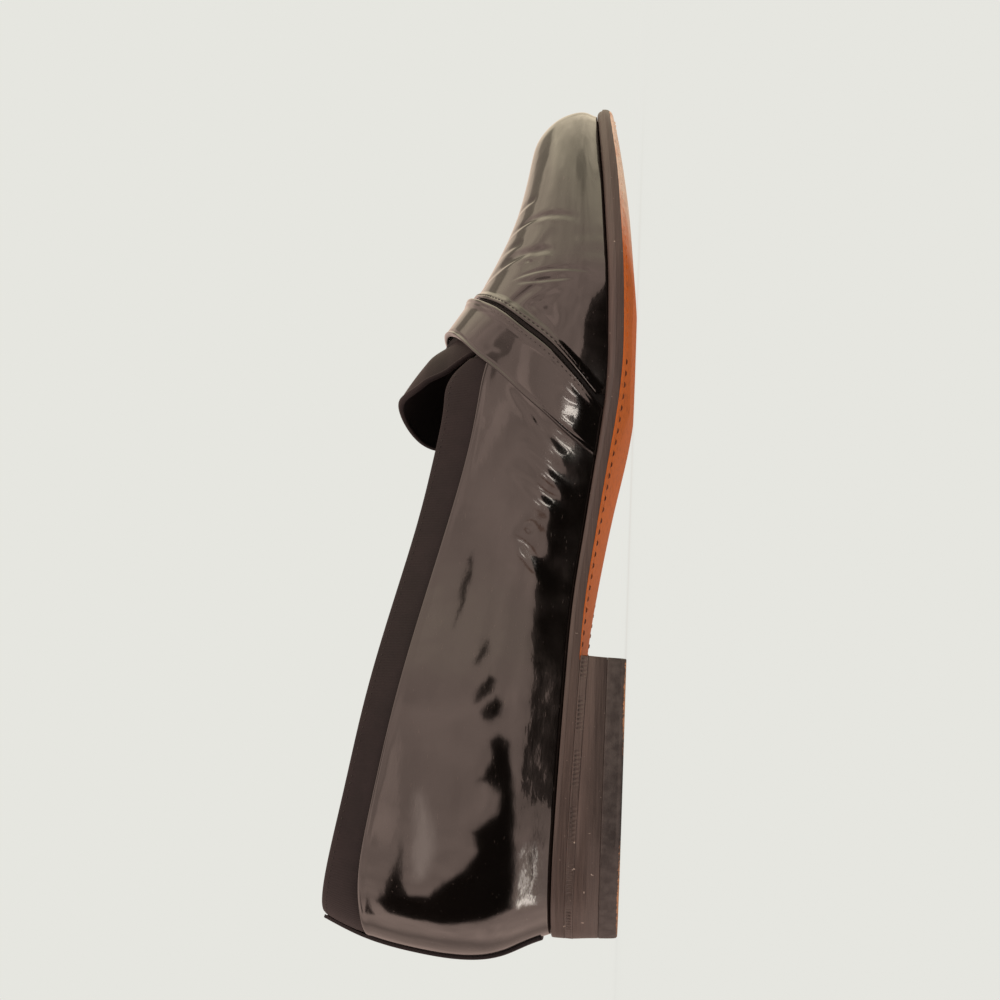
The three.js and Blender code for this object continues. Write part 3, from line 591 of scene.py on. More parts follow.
def inked(material, base, shader, ink):
    """Inks a material: streaky satin black where ink is 1. Returns nothing."""
    place = object_place(material)
    long = add_node(material, "ShaderNodeMapping", {"Scale": (STREAK_WIDTH / STREAK_LENGTH,
                    STREAK_WIDTH / STREAK_LENGTH, 1.0)}, {"Vector": place})
    streak_and_painted_sheen = add_node(material, "ShaderNodeTexNoise", {"Scale": per_metre(STREAK_WIDTH),
                      "Detail": 3.0}, {"Vector": long.outputs[0]})
    # The lighter streaks in the black are partly uneven ink, partly painted satin sheen.
    black = add_node(material, "ShaderNodeMix", {"data_type": "RGBA", 6: linear("#2C2422"),
                     7: linear("#5A4D48")}, {0: streak_and_painted_sheen.outputs[0]})
    # Pale specks on the edge are painted glints of light.
    painted_glints = add_node(material, "ShaderNodeTexNoise", {"Scale": per_metre(1.3), "Detail": 2.0},
                     {"Vector": place})
    painted_glints = add_node(material, "ShaderNodeMapRange", {"From Min": 0.73, "From Max": 0.77},
                     {"Value": painted_glints.outputs[0]})
    black = add_node(material, "ShaderNodeMix", {"data_type": "RGBA", 7: linear("#A09388")},
                     {0: painted_glints.outputs[0], 6: black.outputs[2]})
    colour = add_node(material, "ShaderNodeMix", {"data_type": "RGBA"},
                      {0: ink, 6: base, 7: black.outputs[2]})
    link(material, colour.outputs[2], shader.inputs["Base Color"])
    dull = add_node(material, "ShaderNodeMix", {2: 0.62, 3: 0.36}, {0: ink})
    dull = add_node(material, "ShaderNodeMath", {"operation": "MULTIPLY_ADD", 1: 0.12},
                    {0: streak_and_painted_sheen.outputs[0], 2: dull.outputs[0]})
    link(material, dull.outputs[0], shader.inputs["Roughness"])
    fibre = add_node(material, "ShaderNodeTexNoise", {"Scale": per_metre(0.5), "Detail": 3.0},
                     {"Vector": place})
    relief = add_node(material, "ShaderNodeMath", {"operation": "ADD"},
                      {0: fibre.outputs[0], 1: streak_and_painted_sheen.outputs[0]})
    add_bump(material, shader, relief.outputs[0], 0.35, 0.00015)


edge_leather, edge_shader = new_material("blackened_edge_leather", ior=1.5)
full = add_node(edge_leather, "ShaderNodeValue")
full.outputs[0].default_value = 1.0
tan = add_node(edge_leather, "ShaderNodeRGB")
tan.outputs[0].default_value = linear("#B5571F")
inked(edge_leather, tan.outputs[0], edge_shader, full.outputs[0])

sole_leather, sole_shader = new_material("tan_sole_leather", ior=1.45, specular_ior_level=0.35)
place = object_place(sole_leather)
split = add_node(sole_leather, "ShaderNodeSeparateXYZ", links={0: place})
patches = add_node(sole_leather, "ShaderNodeTexNoise", {"Scale": per_metre(14), "Detail": 6.0,
                   "Roughness": 0.7}, {"Vector": place})
# Paler towards the ball and the toe: partly sanded wear, partly a painted highlight along the toe's bevel.
forefoot_wear_and_highlight = add_node(sole_leather, "ShaderNodeMapRange", {"From Min": 0.066, "From Max": 0.104},
                   {"Value": split.outputs[0]})
pale = add_node(sole_leather, "ShaderNodeMath", {"operation": "MULTIPLY"},
                {0: forefoot_wear_and_highlight.outputs[0], 1: patches.outputs[0]})
pale = add_node(sole_leather, "ShaderNodeMapRange", {"From Min": 0.12, "From Max": 0.5},
                {"Value": pale.outputs[0]})
tan = add_node(sole_leather, "ShaderNodeMix", {"data_type": "RGBA", 6: linear("#CC6216"),
               7: linear("#EBC7AE")}, {0: pale.outputs[0]})
fleck = add_node(sole_leather, "ShaderNodeTexNoise", {"Scale": per_metre(2.2), "Detail": 6.0,
                 "Roughness": 0.75}, {"Vector": place})
fleck = add_node(sole_leather, "ShaderNodeMapRange", {"From Min": 0.5, "From Max": 0.72,
                 "To Max": 0.55}, {"Value": fleck.outputs[0]})
tan = add_node(sole_leather, "ShaderNodeMix", {"data_type": "RGBA", 7: linear("#6E2E12")},
               {0: fleck.outputs[0], 6: tan.outputs[2]})
ink = add_node(sole_leather, "ShaderNodeAttribute", {"attribute_name": "ink"}).outputs["Fac"]
waver = add_node(sole_leather, "ShaderNodeTexNoise", {"Scale": per_metre(2.5), "Detail": 3.0},
                 {"Vector": place})
ink = add_node(sole_leather, "ShaderNodeMath", {"operation": "MULTIPLY_ADD", 1: 0.5},
               {0: waver.outputs[0], 2: ink})
ink = add_node(sole_leather, "ShaderNodeMapRange", {"From Min": 0.60, "From Max": 0.72},
               {"Value": ink.outputs[0]})
inked(sole_leather, tan.outputs[2], sole_shader, ink.outputs[0])

# The top piece is dense black rubber, scuffed grey. Its lower rim is worn through the black to
# the tan filler in specks: the *wear* attribute is 1 at the rim.
rubber = plain("top_piece_rubber", "#352F2E", "#46403E", 0.55, 2.5, 0.3)
rubber_shader = rubber.node_tree.nodes["Principled BSDF"]
black = rubber_shader.inputs["Base Color"].links[0].from_socket
wear = add_node(rubber, "ShaderNodeAttribute", {"attribute_name": "wear"}).outputs["Fac"]
grit = add_node(rubber, "ShaderNodeTexNoise", {"Scale": per_metre(0.9), "Detail": 5.0,
                "Roughness": 0.8}, {"Vector": object_place(rubber)})
wear = add_node(rubber, "ShaderNodeMath", {"operation": "MULTIPLY_ADD", 1: 0.62},
                {0: wear, 2: grit.outputs[0]})
wear = add_node(rubber, "ShaderNodeMapRange", {"From Min": 0.94, "From Max": 1.04},
                {"Value": wear.outputs[0]})
tan = add_node(rubber, "ShaderNodeMix", {"data_type": "RGBA", 7: linear("#B98058")},
               {0: wear.outputs[0], 6: black})
link(rubber, tan.outputs[2], rubber_shader.inputs["Base Color"])

# %% [markdown]
# ## The vamp
# The vamp is the front of the upper, lasted tightly over the toes. Its back edge is turned and
# stitched along the groove in front of the strap. A subdivided box would need sculpting, so the
# vamp is a grid on the last: a column for each meridian, a row for each share of its climb. The
# columns near the groove are placed where the groove's line crosses them, so the turned edge is
# clean. The leather is 1.1 mm thick.

# %% Vamp
VAMP_WALL = 1.1
EDGE_COLUMNS = 110
FRONT_COLUMNS = 140
VAMP_ROWS = 96


def smooth_step(x):
    x = np.clip(x, 0, 1)
    return x * x * (3 - 2 * x)


def round_edge(distance, radius):
    """Quarter circle: 0 at the edge, 1 from one radius in."""
    return np.sqrt(np.clip(1 - (1 - np.clip(distance / radius, 0, 1)) ** 2, 0, 1))


def vamp_edge(points):
    return groove(points[..., 2]) + GROOVE_WIDTH / 2


def edge_columns(line):
    """Turns and top climbs of the columns on both sides, from the inner foot round the toe."""
    climbs = np.linspace(0.04, TOP, EDGE_COLUMNS)
    parts = []
    for side in (1, -1):
        behind = turn_where(lambda p: line(p), climbs, side)
        ahead = np.linspace(behind[-1], HALF_TURN, FRONT_COLUMNS)[1:]
        turns = np.concatenate([behind, ahead])
        tops = np.concatenate([climbs, np.full(len(ahead), TOP)])
        parts.append((turns, tops))
    turns = np.concatenate([parts[0][0], (2 * HALF_TURN - parts[1][0])[::-1][1:]])
    tops = np.concatenate([parts[0][1], parts[1][1][::-1][1:]])
    return turns, tops


def shell_faces(outer_rows, inner_rows, columns, open_top, close_columns):
    """Quads of a closed shell. The rim between the outer and the inner top row is left out
    where the two sides of the last meet on the comb."""
    faces = grid_quads(outer_rows + inner_rows, columns, True, close_columns)
    row = faces[:, 0] // columns
    column = faces[:, 0] % columns
    nearest = np.minimum(open_top, np.roll(open_top, -1))
    keep = (row != outer_rows - 1) | (nearest[column] < TOP - 1e-9)
    faces = faces[keep].tolist()
    if not close_columns:
        rows = np.arange(outer_rows + inner_rows)
        faces.append(rows[::-1] * columns)
        faces.append(rows * columns + columns - 1)
    return faces


def girth_point(along, girth):
    """Point of the last at a share of the length and of the girth: 1 is the inner feather line,
    0 the comb and -1 the outer feather line. Returns the point and the normal."""
    turn = np.where(girth < 0, -1, 1) * turn_of(along)
    climb = TOP * np.maximum(1 - np.abs(girth), 0)
    return last_point(turn, climb), last_normal(turn, climb)


# Each fold runs through three places on the last. Depth and width in mm; a negative depth is a
# ridge. The first group is the vamp's, bent in walking; the next is the quarters', drawn
# towards the waist; the last two are their like on the outer side and shallow dents.
FOLDS = table("from_along from_girth by_along by_girth to_along to_girth depth width", [
    (0.800, 0.12, 0.796, 0.570, 0.776, 0.880, 0.50, 0.9),
    (0.843, 0.10, 0.835, 0.400, 0.829, 0.520, 0.30, 1.0),
    (0.732, 0.06, 0.746, 0.549, 0.734, 0.775, 0.55, 1.0),
    (0.745, 0.25, 0.752, 0.500, 0.744, 0.620, 0.34, 0.8),
    (0.772, 0.22, 0.770, 0.430, 0.764, 0.540, 0.34, 1.0),
    (0.712, 0.56, 0.716, 0.720, 0.707, 0.980, 0.26, 0.6),
    (0.709, 0.58, 0.703, 0.740, 0.702, 0.880, 0.30, 0.7),
    (0.778, 0.76, 0.745, 0.668, 0.712, 0.620, 0.34, 2.6),
    (0.706, 0.77, 0.688, 0.659, 0.668, 0.600, 0.36, 1.6),
    (0.754, 0.80, 0.758, 0.920, 0.764, 1.060, 0.09, 2.2),
    (0.731, 0.85, 0.735, 0.950, 0.740, 1.060, 0.09, 2.2),
    (0.682, 0.70, 0.664, 0.780, 0.642, 0.850, 0.34, 2.0),
    (0.688, 0.87, 0.681, 0.770, 0.672, 0.700, 0.28, 1.4),
    (0.588, 0.728, 0.566, 0.795, 0.530, 0.870, 0.42, 1.6),
    (0.568, 0.785, 0.540, 0.862, 0.500, 0.960, 0.40, 2.4),
    (0.532, 0.795, 0.505, 0.866, 0.470, 0.980, 0.42, 2.6),
    (0.500, 0.765, 0.478, 0.848, 0.440, 0.980, 0.38, 2.4),
    (0.428, 0.825, 0.401, 0.885, 0.360, 0.990, 0.30, 3.2),
    (0.556, 0.850, 0.545, 0.900, 0.528, 0.960, -0.22, 1.8),
    (0.598, 0.860, 0.580, 0.905, 0.566, 0.950, -0.20, 2.0),
    (0.640, 0.560, 0.634, 0.640, 0.622, 0.720, 0.22, 3.0),
    (0.552, 0.670, 0.548, 0.680, 0.544, 0.690, 0.08, 1.0),
    (0.430, 0.855, 0.426, 0.862, 0.420, 0.868, 0.15, 0.9),
    (0.796, -0.10, 0.790, -0.480, 0.772, -0.850, 0.45, 1.0),
    (0.742, 0.00, 0.746, -0.420, 0.730, -0.820, 0.50, 1.1),
    (0.712, -0.30, 0.706, -0.560, 0.696, -0.900, 0.34, 1.2),
    (0.690, -0.55, 0.676, -0.700, 0.660, -0.880, 0.30, 1.6),
    (0.576, -0.740, 0.556, -0.800, 0.524, -0.870, 0.60, 1.1),
    (0.530, -0.800, 0.508, -0.860, 0.480, -0.940, 0.55, 1.7),
    (0.470, -0.790, 0.450, -0.860, 0.420, -0.940, 0.45, 1.9),
])
FOLD_STEPS = 70
FOLD_REACH = 4.5
STEEP_SIDE = 0.75
SLOW_SIDE = 1.5


def upper_relief(points):
    """Sum of the folds at points on the last. Across a fold the relief is a bell-shaped trough,
    steeper on one side, with a low bell as a lip there; along it a smooth rise and fall."""
    relief = np.zeros(points.shape[:-1])
    share = np.linspace(0, 1, FOLD_STEPS)
    start, middle, end = (1 - share) * (1 - 2 * share), 4 * share * (1 - share), share * (2 * share - 1)
    for row in zip(*FOLDS.values()):
        along = row[0] * start + row[2] * middle + row[4] * end
        girth = row[1] * start + row[3] * middle + row[5] * end
        depth, width = row[6:]
        path, normal = girth_point(along, girth)
        ahead = np.gradient(path, axis=0)
        length = np.linalg.norm(ahead, axis=-1, keepdims=True)
        ahead /= length
        aside = np.cross(ahead, normal)
        reach = FOLD_REACH * width
        near = ((points > path.min(0) - reach) & (points < path.max(0) + reach)).all(-1)
        if not near.any():
            continue
        away = points[near][:, None] - path[None]
        k = (away**2).sum(-1).argmin(-1)
        rows = np.arange(len(k))
        away = away[rows, k]
        along_path = (k + (away * ahead[k]).sum(-1) / length[k, 0]) / (FOLD_STEPS - 1)
        off = (away * aside[k]).sum(-1) / width
        off = np.where(off > 0, off / STEEP_SIDE, off / SLOW_SIDE)
        fade = smooth_step(along_path / 0.45) * smooth_step((1 - along_path) / 0.3)
        relief[near] += depth * fade * (0.2 * np.exp(-((off - 2.2) / 1.3) ** 2) - np.exp(-off**2))
    return relief


def vamp_roll(points):
    """Raised, turned edge: a quarter circle up from the groove, then a soft slope down."""
    from_groove = points[..., 0] - vamp_edge(points)
    rise = 0.25 + 0.75 * round_edge(from_groove, 0.9)
    fall = 1 - smooth_step((from_groove - 1.2) / 3.6)
    dip = 0.2 * np.exp(-((from_groove - 1.9) / 0.4) ** 2)
    return ROLL_HEIGHT * rise * fall - dip


def make_vamp():
    turns, tops = edge_columns(vamp_edge)
    up = 1 - (1 - np.linspace(0, 1, VAMP_ROWS)) ** 1.5
    climb = tops[None, :] * up[:, None]
    turn = np.broadcast_to(turns[None, :], climb.shape)
    base = last_point(turn, climb)
    normal = last_normal(turn, climb)
    relief = upper_relief(base)
    outer = base + normal * (vamp_roll(base) + relief)[..., None]
    back = np.linspace(VAMP_ROWS - 1, 0, 12).round().astype(int)
    inner = (base - normal * VAMP_WALL)[back] + normal[back] * np.minimum(relief[back], 0)[..., None]
    points = np.concatenate([outer, inner])
    faces = shell_faces(VAMP_ROWS, len(back), len(turns), tops, False)
    return build_piece("vamp", points, faces, patent, ["upper"])


vamp = make_vamp()


def soften(piece, centre, radius, rounds):
    """Moves the points near a centre half way to the mean of their neighbours, again and again,
    which takes out the pinch where the comb ends."""
    work = bmesh.new()
    work.from_mesh(piece.data)
    near = [v for v in work.verts if (v.co - centre).length < radius]
    for _ in range(rounds):
        bmesh.ops.smooth_vert(work, verts=near, factor=0.5, use_axis_x=True, use_axis_y=True,
                              use_axis_z=True)
    work.to_mesh(piece.data)
    work.free()


comb_end = (last_point(np.array(HALF_TURN), np.array(TOP)) + ORIGIN) * MM
soften(vamp, Vector(comb_end), 0.007, 30)

# %% [markdown]
# ## The quarters
# The quarters wrap the heel from one side of the strap round the back to the other. They end
# above in a cut edge, with the ribbed collar band behind it.

# %% Quarters
STRAP_LAP = 3.0
QUARTER_ROWS = 80
QUARTER_COLUMNS = 260


def behind_strap(points, lap):
    return strap_back(points[..., 2]) + lap - points[..., 0]


def over_binding_line(points):
    x = points[..., 0]
    return points[..., 2] - topline(x) + binding_depth(x)


def over_topline(points):
    return points[..., 2] - topline(points[..., 0])


def make_quarters():
    scan = np.linspace(0, turn_of(0.68), 400)
    sides = []
    for side in (1, -1):
        low = climb_where(lambda p: behind_strap(p, STRAP_LAP), side * scan)
        high = climb_where(over_binding_line, side * scan)
        final = scan[np.argmin((high - low) > 0.02)]
        sides.append(side * np.linspace(0, final, QUARTER_COLUMNS))
    turns = np.concatenate([sides[1][::-1], sides[0][1:]])
    low = climb_where(lambda p: behind_strap(p, STRAP_LAP), turns)
    high = climb_where(over_binding_line, turns)
    up = 1 - (1 - np.linspace(0, 1, QUARTER_ROWS)) ** 1.4
    climb = low[None, :] + (high - low)[None, :] * up[:, None]
    turn = np.broadcast_to(turns[None, :], climb.shape)
    base = last_point(turn, climb)
    normal = last_normal(turn, climb)
    relief = upper_relief(base)
    below = -over_binding_line(base)
    edge = -0.7 * (1 - round_edge(below, 0.8)) + 0.15 * np.exp(-((below - 1.0) / 1.2) ** 2)
    outer = base + normal * (edge + relief)[..., None]
    back = np.linspace(QUARTER_ROWS - 1, 0, 12).round().astype(int)
    inner = base[back] - normal[back] * VAMP_WALL
    points = np.concatenate([outer, inner])
    return band("quarters", points, patent, ["upper"])


quarters = make_quarters()

# %% [markdown]
# ## The lining
# Inside, one layer of black leather lines the whole upper, from under the sock to the topline.

# %% Lining
LINING_OUT = -1.15
LINING_IN = -UPPER_WALL
LINING_ROWS = 60


def in_opening(points):
    """Positive inside the opening: above the topline and behind the edge of the throat."""
    return np.minimum(over_topline(points), behind_strap(points, THROAT_LAP))


def make_lining():
    turns = np.linspace(0, 2 * HALF_TURN, 480, endpoint=False)
    tops = climb_where(in_opening, turns)
    up = 1 - (1 - np.linspace(0, 1, LINING_ROWS)) ** 1.4
    climb = tops[None, :] * up[:, None]
    turn = np.broadcast_to(turns[None, :], climb.shape)
    base = last_point(turn, climb)
    normal = last_normal(turn, climb)
    relief = np.minimum(upper_relief(base), 0)[..., None]
    inner = base + normal * (LINING_IN + relief)
    skirt = inner[:1] - np.array([0, 0, 1.6])
    outer_rows = np.linspace(0, LINING_ROWS - 1, 20).round().astype(int)
    outer = (base + normal * (LINING_OUT + relief))[outer_rows]
    points = np.concatenate([outer, inner[::-1], skirt])
    faces = shell_faces(len(outer_rows), LINING_ROWS + 1, len(turns), tops, True)
    return build_piece("lining", points, faces, lining_leather, ["upper"])


lining = make_lining()

# %% [markdown]
# ## The instep strap
# The plain strap crosses the instep. Its back edge is folded to a thin bead, its front edge is
# turned and stitched beside the groove. It is a section, drawn across its width, carried along
# the strap from the inner foot over the comb to the outer foot.

# %% Instep strap
STRAP_STEPS = 120
STRAP_ROWS = 44


def strap_front(points):
    return groove(points[..., 2]) - GROOVE_WIDTH / 2


def across_strap(share):
    return lambda p: strap_back(p[..., 2]) * (1 - share) + strap_front(p) * share


def strap_height(across, width):
    """Height over the last: quarter circles at both edges, a bead and its seam at the back, a
    raised edge with a stitched dip at the front, and a slight crown between."""
    to_front = width - across
    body = STRAP_WALL * np.minimum(round_edge(across, 0.9), round_edge(to_front, 0.8))
    bead = 0.30 * np.exp(-((across - 0.6) / 0.42) ** 2) - 0.34 * np.exp(-((across - 1.5) / 0.28) ** 2)
    roll = 0.8 * ROLL_HEIGHT * (1 - smooth_step((to_front - 1.0) / 3.4)) * round_edge(to_front, 0.9)
    dip = 0.2 * np.exp(-((to_front - 1.9) / 0.4) ** 2)
    crown = 0.2 * np.sin(np.pi * across / width)
    return FIT + body + bead + roll - dip + crown


def strap_grid(shares, steps=STRAP_STEPS, low=0.002):
    """Turns and climbs on the last under the strap, for shares of its width (rows) and from the
    inner foot over the comb to the outer foot (columns)."""
    climbs = np.linspace(low, TOP, steps)
    halves = [np.stack([turn_where(across_strap(s), climbs, side) for s in shares]) for side in (1, -1)]
    turn = np.concatenate([halves[0], -halves[1][:, ::-1][:, 1:]], axis=1)
    climb = np.concatenate([climbs, climbs[::-1][1:]])
    return turn, np.broadcast_to(climb[None, :], turn.shape)


def make_strap():
    shares = (1 - np.cos(np.pi * np.linspace(0, 1, STRAP_ROWS))) / 2
    turn, climb = strap_grid(shares)
    base = last_point(turn, climb)
    normal = last_normal(turn, climb)
    steps = np.linalg.norm(np.diff(base, axis=0), axis=-1)
    across = np.concatenate([np.zeros((1, base.shape[1])), np.cumsum(steps, axis=0)])
    tucked = 0.35 + 0.65 * smooth_step(climb / 0.09)
    height = FIT + (strap_height(across, across[-1:]) - FIT) * tucked
    outer = base + normal * (height + upper_relief(base))[..., None]
    back = np.linspace(STRAP_ROWS - 1, 0, 8).round().astype(int)
    inner = (base + normal * FIT)[back]
    points = np.concatenate([outer, inner])
    return band("instep_strap", points, patent, ["instep_strap"])


instep_strap = make_strap()

# %% [markdown]
# ## The collar band
# A broad ribbed silk-look band binds the topline. It lies in a recess level with the quarters,
# turns over the edge and is felled inside. Its section is a flat hook, carried round the collar.

# %% Collar band
BINDING_SECTION = table("down out lift", [
    (1.06, -0.80, 0.00), (1.00, -0.62, 0.00), (0.93, -0.36, 0.00), (0.80, -0.18, 0.00),
    (0.60, -0.10, 0.00), (0.40, -0.08, 0.00), (0.20, -0.10, 0.00), (0.10, -0.16, 0.00),
    (0.03, -0.30, 0.05), (0.00, -0.52, 0.28), (0.00, -0.95, 0.55), (0.00, -1.40, 0.62),
    (0.00, -1.90, 0.50), (0.00, -2.40, 0.20), (0.08, -2.75, 0.00), (0.30, -2.85, 0.00),
    (0.60, -2.85, 0.00), (0.78, -2.75, 0.00), (0.80, -2.45, 0.00), (0.50, -2.25, 0.00),
    (0.10, -2.20, 0.00), (0.02, -1.70, 0.00), (0.06, -1.00, 0.00), (0.50, -0.90, 0.00),
    (1.06, -1.00, 0.00),
])
COLLAR_END = 0.6235


def make_collar_band():
    reach = turn_of(COLLAR_END)
    turns = np.linspace(-reach, reach, 640)
    top = climb_where(over_topline, turns)
    low = climb_where(over_binding_line, turns)
    down = BINDING_SECTION["down"][:, None]
    climb = top[None, :] - (top - low)[None, :] * down
    turn = np.broadcast_to(turns[None, :], climb.shape)
    base = last_point(turn, climb)
    normal = last_normal(turn, climb)
    rise = last_point(turns, top) - last_point(turns, top - 0.02)
    rise /= np.linalg.norm(rise, axis=-1, keepdims=True)
    points = base + normal * BINDING_SECTION["out"][:, None, None] \
        + rise[None] * BINDING_SECTION["lift"][:, None, None]
    steps = np.linalg.norm(np.diff(points[10], axis=0), axis=-1)
    along = np.concatenate([[0], np.cumsum(steps)])
    values = {"flow": np.stack([
        np.broadcast_to(along[None, :], climb.shape),
        np.broadcast_to(down * BINDING_WIDTH, climb.shape),
        np.zeros(climb.shape)], -1)}
    return band("collar_band", points, grosgrain, ["collar_binding"], values)


collar_band = make_collar_band()

# %% [markdown]
# ## The tongue
# The short tongue runs under the vamp and stands up behind the strap. It is silk-look ribbed
# cloth outside and velvet inside, with a piped edge. Rows follow the climb, columns run from
# under the vamp back to the free edge, which leans back towards the outer side.

# %% Tongue
TONGUE_STEPS = 90
TONGUE_ROWS = 70
TONGUE_LOW = 0.62


def tongue_line(points):
    return tongue_edge(points[..., 2]) - TONGUE_LEAN * points[..., 1]


def tongue_offset(points):
    """The tongue lies under the vamp and comes up to the last behind the throat's edge."""
    under = -UPPER_WALL - FIT
    behind = behind_strap(points, THROAT_LAP)
    back = smooth_step(behind / THROAT_LAP)
    free = smooth_step((points[..., 2] / BACK_HEIGHT - 0.72) / 0.08)
    return under * (1 - back * free)


def make_tongue():
    climbs = np.linspace(TONGUE_LOW, TOP, TONGUE_ROWS)
    front = turn_of(TONGUE_REACH)
    share = 1 - (1 - np.linspace(0, 1, TONGUE_STEPS)) ** 1.3
    halves = []
    for side in (1, -1):
        edge = turn_where(tongue_line, climbs, side, 0.42, TONGUE_REACH)
        halves.append(side * (front + (edge - front)[:, None] * share[None, :]))
    turn = np.concatenate([halves[0], halves[1][::-1][1:]])
    climb = np.concatenate([climbs, climbs[::-1][1:]])[:, None] * np.ones((1, TONGUE_STEPS))
    base = last_point(turn, climb)
    normal = last_normal(turn, climb)
    offset = tongue_offset(base)
    steps = np.linalg.norm(np.diff(base, axis=1), axis=-1)
    to_edge = np.concatenate([np.cumsum(steps[:, ::-1], axis=1)[:, ::-1], np.zeros((len(base), 1))], axis=1)
    bead = 0.35 * np.exp(-((to_edge - 0.8) / 0.55) ** 2)
    half = TONGUE_WALL / 2 * np.maximum(round_edge(to_edge, 0.8), 0.02) + bead
    middle = offset - TONGUE_WALL / 2
    outer = base + normal * (middle + half)[..., None]
    inner = base + normal * (middle - half)[..., None]
    points = np.concatenate([outer, inner[:, ::-1]], axis=1)
    rows, columns = points.shape[:2]
    steps = np.linalg.norm(np.diff(base, axis=0), axis=-1)
    along = np.concatenate([np.zeros((1, base.shape[1])), np.cumsum(steps, axis=0)])
    flow = np.stack([along, to_edge, 0 * along], -1)
    flow = np.concatenate([flow, flow[:, ::-1]], axis=1)
    inside = np.concatenate([0 * to_edge, smooth_step(to_edge / 1.5)[:, ::-1]], axis=1)
    return band("tongue", points.transpose(1, 0, 2), grosgrain, ["tongue"],
                {"flow": flow.transpose(1, 0, 2), "inside": inside.T})


tongue = make_tongue()

# %% [markdown]
# ## The back strip
# A narrow ribbed strip covers the seam at the back of the heel.

# %% Back strip
STRIP_ROWS = 90


def make_back_strip():
    foot = 0.03
    top_climb = climb_where(over_topline, np.array([0.0]))[0]
    climbs = np.linspace(foot, top_climb - 0.004, STRIP_ROWS)
    scan = np.linspace(-0.35, 0.35, 281)
    grid = last_point(scan[None, :], climbs[:, None])
    across = np.linspace(-1, 1, 25)
    turns = np.stack([np.interp(across * BACK_STRIP_WIDTH / 2, row[::-1, 1], scan[::-1])
                      for row in grid])
    climb = np.broadcast_to(climbs[:, None], turns.shape)
    base = last_point(turns, climb)
    normal = last_normal(turns, climb)
    edge = round_edge((1 - np.abs(across)) * BACK_STRIP_WIDTH / 2, 0.9)
    outer = base + normal * (0.1 + 0.9 * edge)[None, :, None]
    inner = base + normal * 0.05
    points = np.concatenate([outer, inner[:, ::-1]], axis=1)
    flow = np.stack([points[..., 2], points[..., 1], 0 * points[..., 0]], -1)
    return band("back_strip", points.transpose(1, 0, 2), grosgrain, ["back_strip"],
                {"flow": flow.transpose(1, 0, 2)})


back_strip = make_back_strip()

# %% [markdown]
# ## The sole
# The outsole is a slab of thick bend leather, cut to the outline and sprung at the toe. Its edge
# and the welt's are trimmed together, blackened and burnished. Sections are carried round the
# outline, and a grid of lines from the inner to the outer side closes the slab above and below.

# %% Outsole, welt and insole
SOLE_COLUMNS = 720
SOLE_ACROSS = 48


def outline_ring(section):
    """Section rows carried round the outline: insets (mm) and heights over the underside."""
    turns = 2 * HALF_TURN * np.arange(SOLE_COLUMNS) / SOLE_COLUMNS
    rows = []
    for inset, up in section(turns):
        plan = outline_point(turns, inset + np.zeros(SOLE_COLUMNS))
        height = underside(plan[:, 0], plan[:, 1]) + up
        rows.append(np.column_stack([plan, np.maximum(height, 0)]))
    return np.stack(rows)


def outline_cover(inset, height):
    """Grid of lines from the inner to the outer side at one inset; height(x, y) lifts it."""
    turns = 2 * HALF_TURN * np.arange(SOLE_COLUMNS // 2 + 1) / SOLE_COLUMNS
    inner = outline_point(turns, inset + 0 * turns)
    outer = outline_point(-turns, inset + 0 * turns)
    share = (1 - np.cos(np.pi * np.linspace(0, 1, SOLE_ACROSS))) / 2
    plan = inner[:, None] + (outer - inner)[:, None] * share[None, :, None]
    return np.dstack([plan, np.maximum(height(plan[..., 0], plan[..., 1]), 0)])


def slab(name, rings, covers, material, nodes, values=None):
    """Rings of section rows and covers that share their edge points, as one closed piece."""
    points = []
    faces = []
    count = 0
    for part in rings + covers:
        is_ring = any(part is ring for ring in rings)
        faces.append(grid_quads(*part.shape[:2], False, is_ring) + count)
        points.append(part.reshape(-1, 3))
        count += len(points[-1])
    return build_piece(name, np.concatenate(points), np.concatenate(faces).tolist(),
                       material, nodes, values)


CHANNEL_INSET = 4.2
CHANNEL_DEPTH = 0.18
TOE_BEVEL = 2.0
SIDE_BEVEL = 0.55
INK_FROM = 0.38
INK_FADE = 0.18


def bevel_at(turns):
    """Radius of the rounded lower edge: small at the sides, large at the toe, and nearly none
    over the heel, where the edge is trimmed flush with the lifts."""
    along = along_of(turns)
    toe = smooth_step((along - 0.84) / 0.14)
    heel = 1 - smooth_step((along - 0.27) / 0.02)
    return SIDE_BEVEL + (TOE_BEVEL - SIDE_BEVEL) * toe - 0.45 * heel


def outsole_section(turns):
    """A quarter circle up from the bottom, then the plain side."""
    radius = bevel_at(turns)
    angle = np.radians([0, 18, 36, 54, 72, 90])
    corner = [(radius * (1 - np.sin(a)), radius * (1 - np.cos(a))) for a in angle]
    flat = OUTSOLE_THICKNESS
    return [(radius + 0.4, 0.0), *corner, (0.0, flat - 0.1), (0.0, flat - 0.02), (0.03, flat)]


